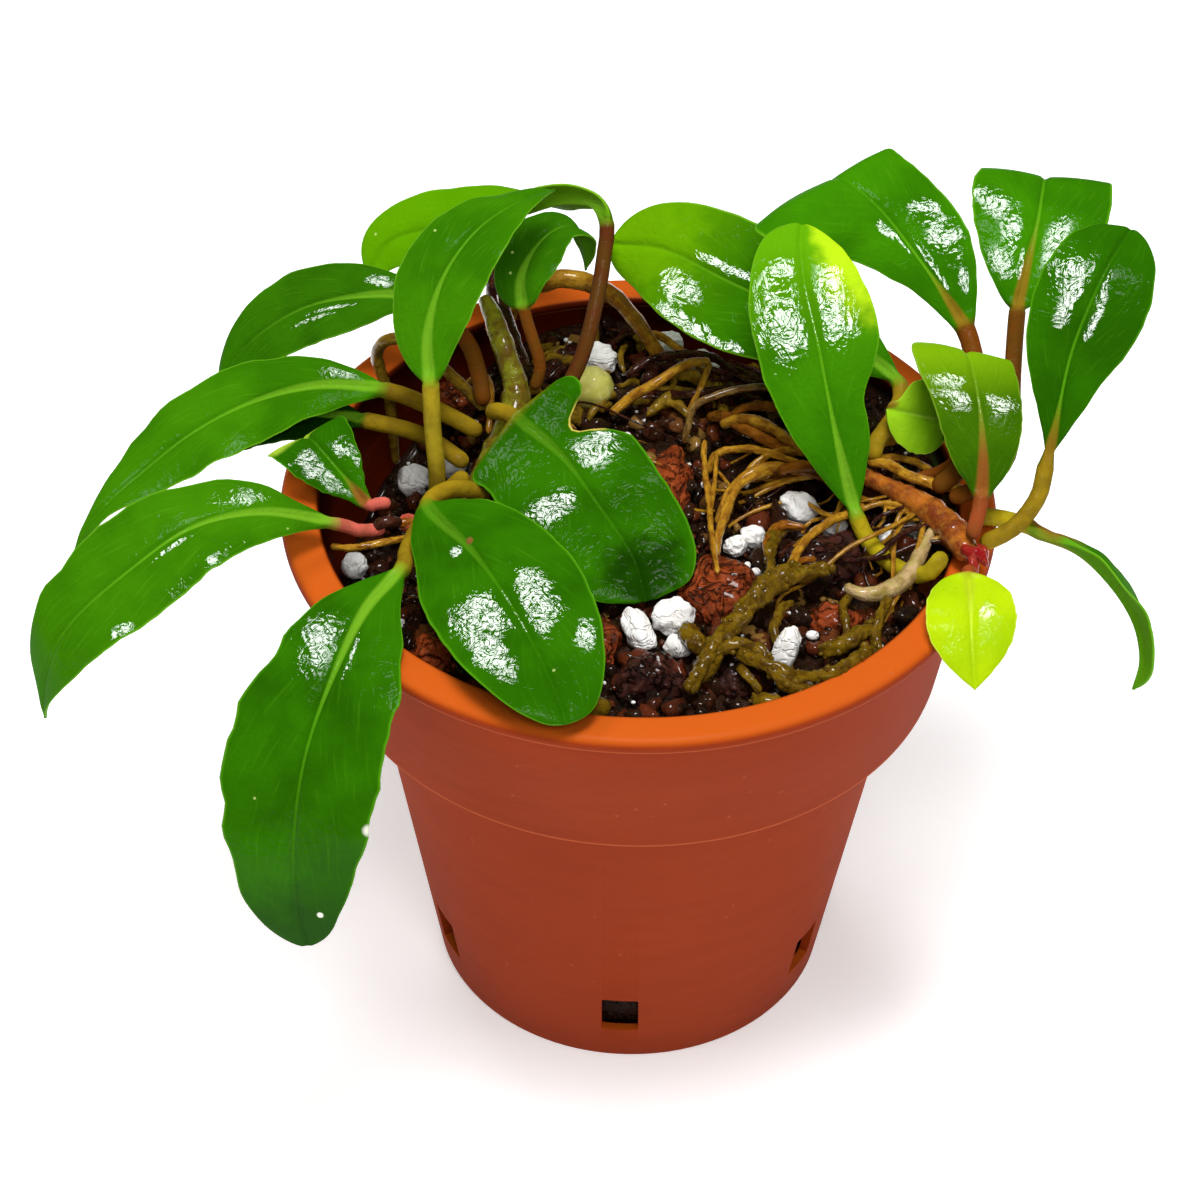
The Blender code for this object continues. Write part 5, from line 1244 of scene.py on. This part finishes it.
thickness = {
    "secondThick": 0.75, "goldCurve": 0.6, "beadedRoot": 0.6, "rimRoot": 0.9, "rimOlive": 0.7,
    "orangeThick": 0.85, "hangingRoot": 0.42, "hangingTwin": 0.32, "backRoot": 0.5, "blackKnot": 0.75,
    "knotSpur": 0.4, "brownFork": 0.5, "strandTop": 1.05, "strandLow": 1.0, "flatLump": 1.2,
    "frontLump": 1.2, "tipLump": 1.3, "longRoot": 0.6, "midStrand": 0.6, "strandSpur": 0.55,
    "rightDown": 0.7, "rightSecond": 0.55, "forkJoin": 0.7, "rimStrand": 0.8,
}
hairSettings = {
    "count": 64, "least": 0.16, "most": 0.4, "seed": 23,
    "rhizomes": [
        [(-24, -3, 76.4), (-18, 6, 79), (-16, 12, 83)],
        [(26, 3.5, 79.5), (34, -2.5, 80), (40, -10, 79.9)],
    ],
}
rootReach = 37


def spotInPot(x, y, heading, reach, share):
    # a place on the way from x, y along the heading, kept inside the pot's wall
    spot = Vector((x + math.cos(heading) * reach * share, y + math.sin(heading) * reach * share, 0))
    if spot.length > rootReach:
        spot *= rootReach / spot.length
    return spot


def buildNamedRoots(piece, routes, kind, finish, slot, lumps):
    skin = bmesh.new()
    for name, route in routes.items():
        thick = thickness.get(name, rootThickness[kind])
        radii = [thick * 0.85] + [thick] * (len(route) - 2) + [thick * 0.7]
        rings, marks = stemRings({"name": name, "route": route, "radii": radii, "lumps": lumps}, 12, 0.4)
        loft(skin, rings, marks)
    finishPiece(piece, skin, finish, slot)


def buildHairRoots(look):
    # each hair root leaves a rhizome, arches over the gravel and goes back into it
    chance = random.Random(look["seed"])
    lines = [[Vector(point) for point in line] for line in look["rhizomes"]]
    golden, dark = bmesh.new(), bmesh.new()
    for index in range(look["count"]):
        start = blendList(lines[index % 2], chance.random())
        inward = Vector((2, 0, 0)) - Vector((start.x, start.y, 0))
        heading = math.atan2(inward.y, inward.x) + chance.uniform(-1.25, 1.25)
        reach = chance.uniform(9, 30)
        thick = chance.uniform(look["least"], look["most"])
        lift = chance.uniform(0.2, 2.4)
        route = [start - Vector((0, 0, 0.6))]
        for step in range(1, 6):
            share = step / 5
            heading += chance.uniform(-0.35, 0.35)
            spot = spotInPot(start.x, start.y, heading, reach, share)
            ground = bedHeight(spot.x, spot.y)
            top = max(start.z - (start.z - ground) * share * 1.6, ground)
            spot.z = top + lift * math.sin(math.pi * share) + (0.5 if step < 5 else -0.8)
            route.append(spot)
        radii = [thick, thick, thick * 0.9, thick * 0.7, thick * 0.5]
        values = {"name": "hair%d" % index, "route": route, "radii": radii, "lumps": 0.15}
        rings, marks = stemRings(values, 7, 1.1)
        loft(golden if index % 3 else dark, rings, marks)
    finishPiece("goldenHairRoots", golden, goldRootFinish, "root_gold")
    finishPiece("darkHairRoots", dark, darkRootFinish, "stem_brown")


# short roots and torn sheaths that lie over each other behind the bitten leaf
litterSettings = {
    "centre": (0.0, 27.0), "spread": (15.0, 9.5), "count": 72, "least": 0.4, "most": 0.95, "lift": 1.0,
    "seed": 31,
}


def buildRootLitter(look):
    chance = random.Random(look["seed"])
    olive, dark = bmesh.new(), bmesh.new()
    middleX, middleY = look["centre"]
    spreadX, spreadY = look["spread"]
    for index in range(look["count"]):
        x = middleX + chance.uniform(-1, 1) * spreadX
        y = middleY + chance.uniform(-1, 1) * spreadY
        heading, reach = chance.uniform(0, math.tau), chance.uniform(3, 8)
        thick = chance.uniform(look["least"], look["most"])
        route = []
        for step in range(4):
            share = step / 3 - 0.5
            spot = spotInPot(x, y, heading, reach, share)
            heading += chance.uniform(-0.3, 0.3)
            arch = thick * (0.9 - 4 * share * share)
            spot.z = bedHeight(spot.x, spot.y) + look["lift"] + arch + chance.uniform(0, 1)
            route.append(spot)
        radii = [thick * 0.8, thick, thick, thick * 0.6]
        values = {"name": "litter%d" % index, "route": route, "radii": radii, "knots": 3, "lumps": 0.5}
        rings, marks = stemRings(values, 9, 0.6)
        loft(dark if index % 3 == 2 else olive, rings, marks)
    finishPiece("oliveLitter", olive, oliveRootFinish, "stem_olive")
    finishPiece("darkLitter", dark, darkRootFinish, "stem_brown")


buildNamedRoots("goldRoots", goldRoots, "gold", goldRootFinish, "root_gold", 0.3)
buildNamedRoots("orangeRoots", orangeRoots, "orange", orangeRootFinish, "root_gold", 0.25)
buildNamedRoots("darkRoots", darkRoots, "dark", darkRootFinish, "stem_brown", 0.3)
buildNamedRoots("wetRoots", wetRoots, "wet", mossyRootFinish, "stem_olive", 0.55)
buildHairRoots(hairSettings)
buildRootLitter(litterSettings)

# moss: wet swellings of alga along the front roots
mossSettings = {
    "lines": [
        [(24, -14.6, 78.6), (18, -18, 79), (13.5, -23, 78.6), (10.5, -28.5, 77.6), (8, -33.2, 76)],
        [(12.4, -30, 78), (16, -32.4, 78.3), (20, -33.4, 77), (23, -31, 75.8)],
        [(22.6, -27.8, 76.4), (26.3, -26.6, 77.2), (30, -21.5, 76)],
        wetRoots["strandTop"], wetRoots["strandLow"], wetRoots["strandLink"], wetRoots["rimStrand"],
        wetRoots["flatLump"], wetRoots["frontLump"],
    ],
    "perMillimetre": 1.6, "around": 0.75, "least": 0.25, "most": 0.6, "seed": 7,
}


def buildMoss(look):
    chance = random.Random(look["seed"])
    skin, group = bmesh.new(), bmesh.new()
    for line in look["lines"]:
        dense, _ = smoothRoute(line)
        lengths = routeLengths(dense)
        for _ in range(round(lengths[-1] * look["perMillimetre"])):
            spot, tangent = placeAt(dense, lengths, lengths[-1] * chance.random())
            way = Vector((chance.gauss(0, 1), chance.gauss(0, 1), chance.gauss(0, 1)))
            way = (way - tangent * way.dot(tangent)).normalized()
            spot = spot + way * look["around"] * chance.uniform(0.6, 1.15)
            size = chance.uniform(look["least"], look["most"])
            stretch = Matrix.Diagonal((1.0, 1.0, chance.uniform(0.7, 1.6), 1.0))
            place = Matrix.Translation(spot) @ stretch
            bmesh.ops.create_icosphere(group, subdivisions=2, radius=size, matrix=place)
            if len(group.verts) > 3000:
                gather(skin, group)
    gather(skin, group)
    group.free()
    finishPiece("rootMoss", skin, mossyRootFinish, "stem_olive")


buildMoss(mossSettings)

# the red growing point of the right crown
budSettings = {
    "redBud": {
        "route": [(40.4, -12.8, 80.9), (41.4, -14.0, 81.1), (42.6, -14.4, 80.9), (43.5, -15.4, 80.0)],
        "radii": [0.7, 0.8, 0.75, 0.25],
    },
    "redScale": {
        "route": [(42.2, -12.4, 80.7), (43.0, -13.4, 80.9), (43.3, -14.6, 80.3)],
        "radii": [0.5, 0.6, 0.35],
    },
    "redFoot": {
        "route": [(41.5, -14.2, 80.9), (41.7, -15.6, 80.2), (41.8, -16.6, 79.3)],
        "radii": [0.6, 0.6, 0.5],
    },
}


def buildBud(looks):
    skin = bmesh.new()
    for name, look in looks.items():
        values = {"name": name, "knots": 2, "knotDepth": 0.12, "lumps": 0.2, **look}
        rings, marks = stemRings(values, 20, 0.25)
        loft(skin, rings, marks)
    finishPiece("growingPoint", skin, budFinish, "shoot_pink")


buildBud(budSettings)
print("fine roots and moss grown")


# pot: a spun wall with a rounded lip, and windows cut through it
def potMaterial():
    material, tree, shader = startMaterial("potFinish")
    place = objectPlace(tree)
    broad = grain(tree, place, 26.0, 3.0)
    squeezed = {"Vector": place, "Scale": (1.0, 1.0, 7.0)}
    flat = addNode(tree, "ShaderNodeMapping", {}, squeezed).outputs["Vector"]
    bands = grain(tree, flat, 60.0, 3.0)
    fine = grain(tree, place, 2200.0, 2.0)
    facing = addNode(tree, "ShaderNodeNewGeometry", {}, {}).outputs["Normal"]
    parts = addNode(tree, "ShaderNodeSeparateXYZ", {}, {"Vector": facing})
    body = mixTones(tree, ramp(tree, broad, 0.3, 0.7), tone(140, 48, 14), tone(146, 52, 16))
    body = mixTones(tree, ramp(tree, bands, 0.35, 0.75, 0.4), body, tone(132, 44, 12))
    # painted light: faces that look upwards are a brighter orange, as if lit from above
    body = mixTones(tree, ramp(tree, parts.outputs["Z"], 0.25, 0.9, 0.85), body, tone(194, 88, 24))
    # painted shade: the inside of the wall is darker, as if in the pot's own shadow
    flatPlace = vectorCalc(tree, "MULTIPLY", place, (1.0, 1.0, 0.0))[0]
    outward = vectorCalc(tree, "DOT_PRODUCT", facing, flatPlace)["Value"]
    body = mixTones(tree, ramp(tree, outward, -0.01, -0.03, 0.9), body, tone(66, 14, 2))
    # painted highlight: the moulding's edges are a little paler, between these heights: the collar's foot
    # and under the lip
    level = addNode(tree, "ShaderNodeSeparateXYZ", {}, {"Vector": place}).outputs["Z"]
    for low, high in ((0.0535, 0.0544), (0.0749, 0.0758)):
        upper = ramp(tree, level, high, high - 0.0004, 0.5)
        line = calc(tree, "MULTIPLY", ramp(tree, level, low, low + 0.0003), upper)
        body = mixTones(tree, line, body, tone(206, 106, 60))
    specks = ramp(tree, cells(tree, place, 260.0).outputs["Distance"], 0.09, 0.03, 0.3)
    body = mixTones(tree, specks, body, tone(180, 96, 64))
    tree.links.new(body, shader.inputs["Base Color"])
    skin = relief(tree, bands, 0.00035)
    skin = relief(tree, fine, 0.00005, 1.0, skin)
    tree.links.new(skin, shader.inputs["Normal"])
    tree.links.new(calc(tree, "ADD", 0.38, ramp(tree, broad, 0.3, 0.7, 0.12)), shader.inputs["Roughness"])
    setInputs(shader, {"Specular IOR Level": 0.0, "Coat Weight": 0.15, "Coat Roughness": 0.36,
                       "Coat IOR": 1.45})
    return material


def potProfile(look):
    ledge = look["collarZ"] + look["wall"]
    topZ, underZ, lip, inner = look["lipTopZ"], look["lipUnderZ"], look["lip"], look["lipInner"]
    foot, floor, bodyTop = look["foot"], look["floor"], look["bodyTop"]
    collarFoot, collarTop, collarZ = look["collarFoot"], look["collarTop"], look["collarZ"]

    def wallAt(height):
        return collarFoot - look["wall"] + (height - collarZ) * look["collarSlope"]

    def bodyAt(height):
        return foot - look["wall"] + height * look["bodySlope"]

    outside = [
        (0, 0), (foot - 0.6, 0), (foot - 0.2, 0.12), (foot, 0.5),
        (bodyTop - 0.1, collarZ - 0.4), (bodyTop + 0.2, collarZ), (collarFoot - 0.4, collarZ),
        (collarFoot - 0.1, collarZ + 0.15), (collarFoot, collarZ + 0.5), (collarTop, underZ - 0.3),
        (collarTop + 0.35, underZ), (lip - 1.0, underZ + 0.2),
    ]
    # the rolled lip, as an arc from its underside to its inner edge
    rollOut, rollHigh, rollSteps = 1.5, 1.25, 8
    for step in range(rollSteps + 1):
        angle = math.radians(-50 + 140 * step / rollSteps)
        outside.append((lip - 1.5 + rollOut * math.cos(angle), topZ - 1.25 + rollHigh * math.sin(angle)))
    inside = [
        (inner + 0.9, topZ), (inner + 0.35, topZ - 0.12), (inner + 0.06, topZ - 0.4), (inner, topZ - 0.9),
        (inner + 0.2, underZ + 1.1), (wallAt(underZ) - 0.2, underZ + 0.35), (wallAt(underZ), underZ - 0.3),
        (wallAt(ledge + 0.5), ledge + 0.5), (wallAt(ledge) - 0.5, ledge), (bodyAt(collarZ) + 0.5, ledge),
        (bodyAt(collarZ), ledge - 0.5), (bodyAt(floor + 0.9), floor + 0.9), (bodyAt(floor) - 0.9, floor),
        (0, floor),
    ]
    return outside + inside


def buildPot(look):
    skin = bmesh.new()
    verts = [skin.verts.new((radius, 0.0, height)) for radius, height in potProfile(look)]
    edges = [skin.edges.new(pair) for pair in zip(verts, verts[1:])]
    bmesh.ops.spin(skin, geom=verts + edges, cent=(0, 0, 0), axis=(0, 0, 1), angle=math.tau,
                   steps=look["segments"], use_merge=True)
    bmesh.ops.remove_doubles(skin, verts=skin.verts, dist=0.005)
    pot = finishPiece("plasticPot", skin, potMaterial(), "pot", "pot")
    cutters = []
    middle = look["foot"] - look["wall"] / 2 + look["windowZ"] * look["bodySlope"]
    for index in range(look["windows"]):
        block = bmesh.new()
        bmesh.ops.create_cube(block, size=1.0)
        size = (look["windowWidth"], look["windowDepth"], look["windowHeight"])
        bmesh.ops.scale(block, vec=size, verts=block.verts)
        long = [edge for edge in block.edges if abs(edge.verts[0].co.y - edge.verts[1].co.y) > 1]
        bmesh.ops.bevel(block, geom=long, offset=look["windowRound"], segments=3, profile=0.5,
                        affect="EDGES", material=-1)
        bmesh.ops.translate(block, vec=(0, -middle, look["windowZ"]), verts=block.verts)
        turn = math.radians(look["windowTurn"] + index * 360 / look["windows"])
        bmesh.ops.rotate(block, cent=(0, 0, 0), matrix=Matrix.Rotation(turn, 3, "Z"), verts=block.verts)
        bmesh.ops.scale(block, vec=(mm, mm, mm), verts=block.verts)
        mesh = bpy.data.meshes.new("windowCutter")
        block.to_mesh(mesh)
        block.free()
        cutter = bpy.data.objects.new("windowCutter", mesh)
        bpy.context.scene.collection.objects.link(cutter)
        cutters.append(cutter)
        cut = pot.modifiers.new("window", "BOOLEAN")
        cut.operation, cut.solver, cut.object = "DIFFERENCE", "EXACT", cutter
    shown = pot.evaluated_get(bpy.context.evaluated_depsgraph_get())
    cutMesh = bpy.data.meshes.new_from_object(shown)
    pot.modifiers.clear()
    pot.data = cutMesh
    for cutter in cutters:
        bpy.data.objects.remove(cutter, do_unlink=True)
    pot.data.shade_smooth()
    pot.data.set_sharp_from_angle(angle=math.radians(45))


buildPot(potShape)
print("pot spun")

# floor: plain and pale
floorSettings = {"half": 3.0, "tone": tone(250, 250, 250), "glow": 0.35}


def layFloor(look):
    sheet = bmesh.new()
    bmesh.ops.create_grid(sheet, x_segments=1, y_segments=1, size=look["half"])
    mesh = bpy.data.meshes.new("floor")
    sheet.to_mesh(mesh)
    sheet.free()
    material, tree, shader = startMaterial("floorFinish")
    setInputs(shader, {"Base Color": look["tone"], "Roughness": 0.9, "Specular IOR Level": 0.1,
                       "Emission Color": look["tone"], "Emission Strength": look["glow"]})
    mesh.materials.append(material)
    floor = bpy.data.objects.new("floor", mesh)
    bpy.context.scene.collection.objects.link(floor)


layFloor(floorSettings)
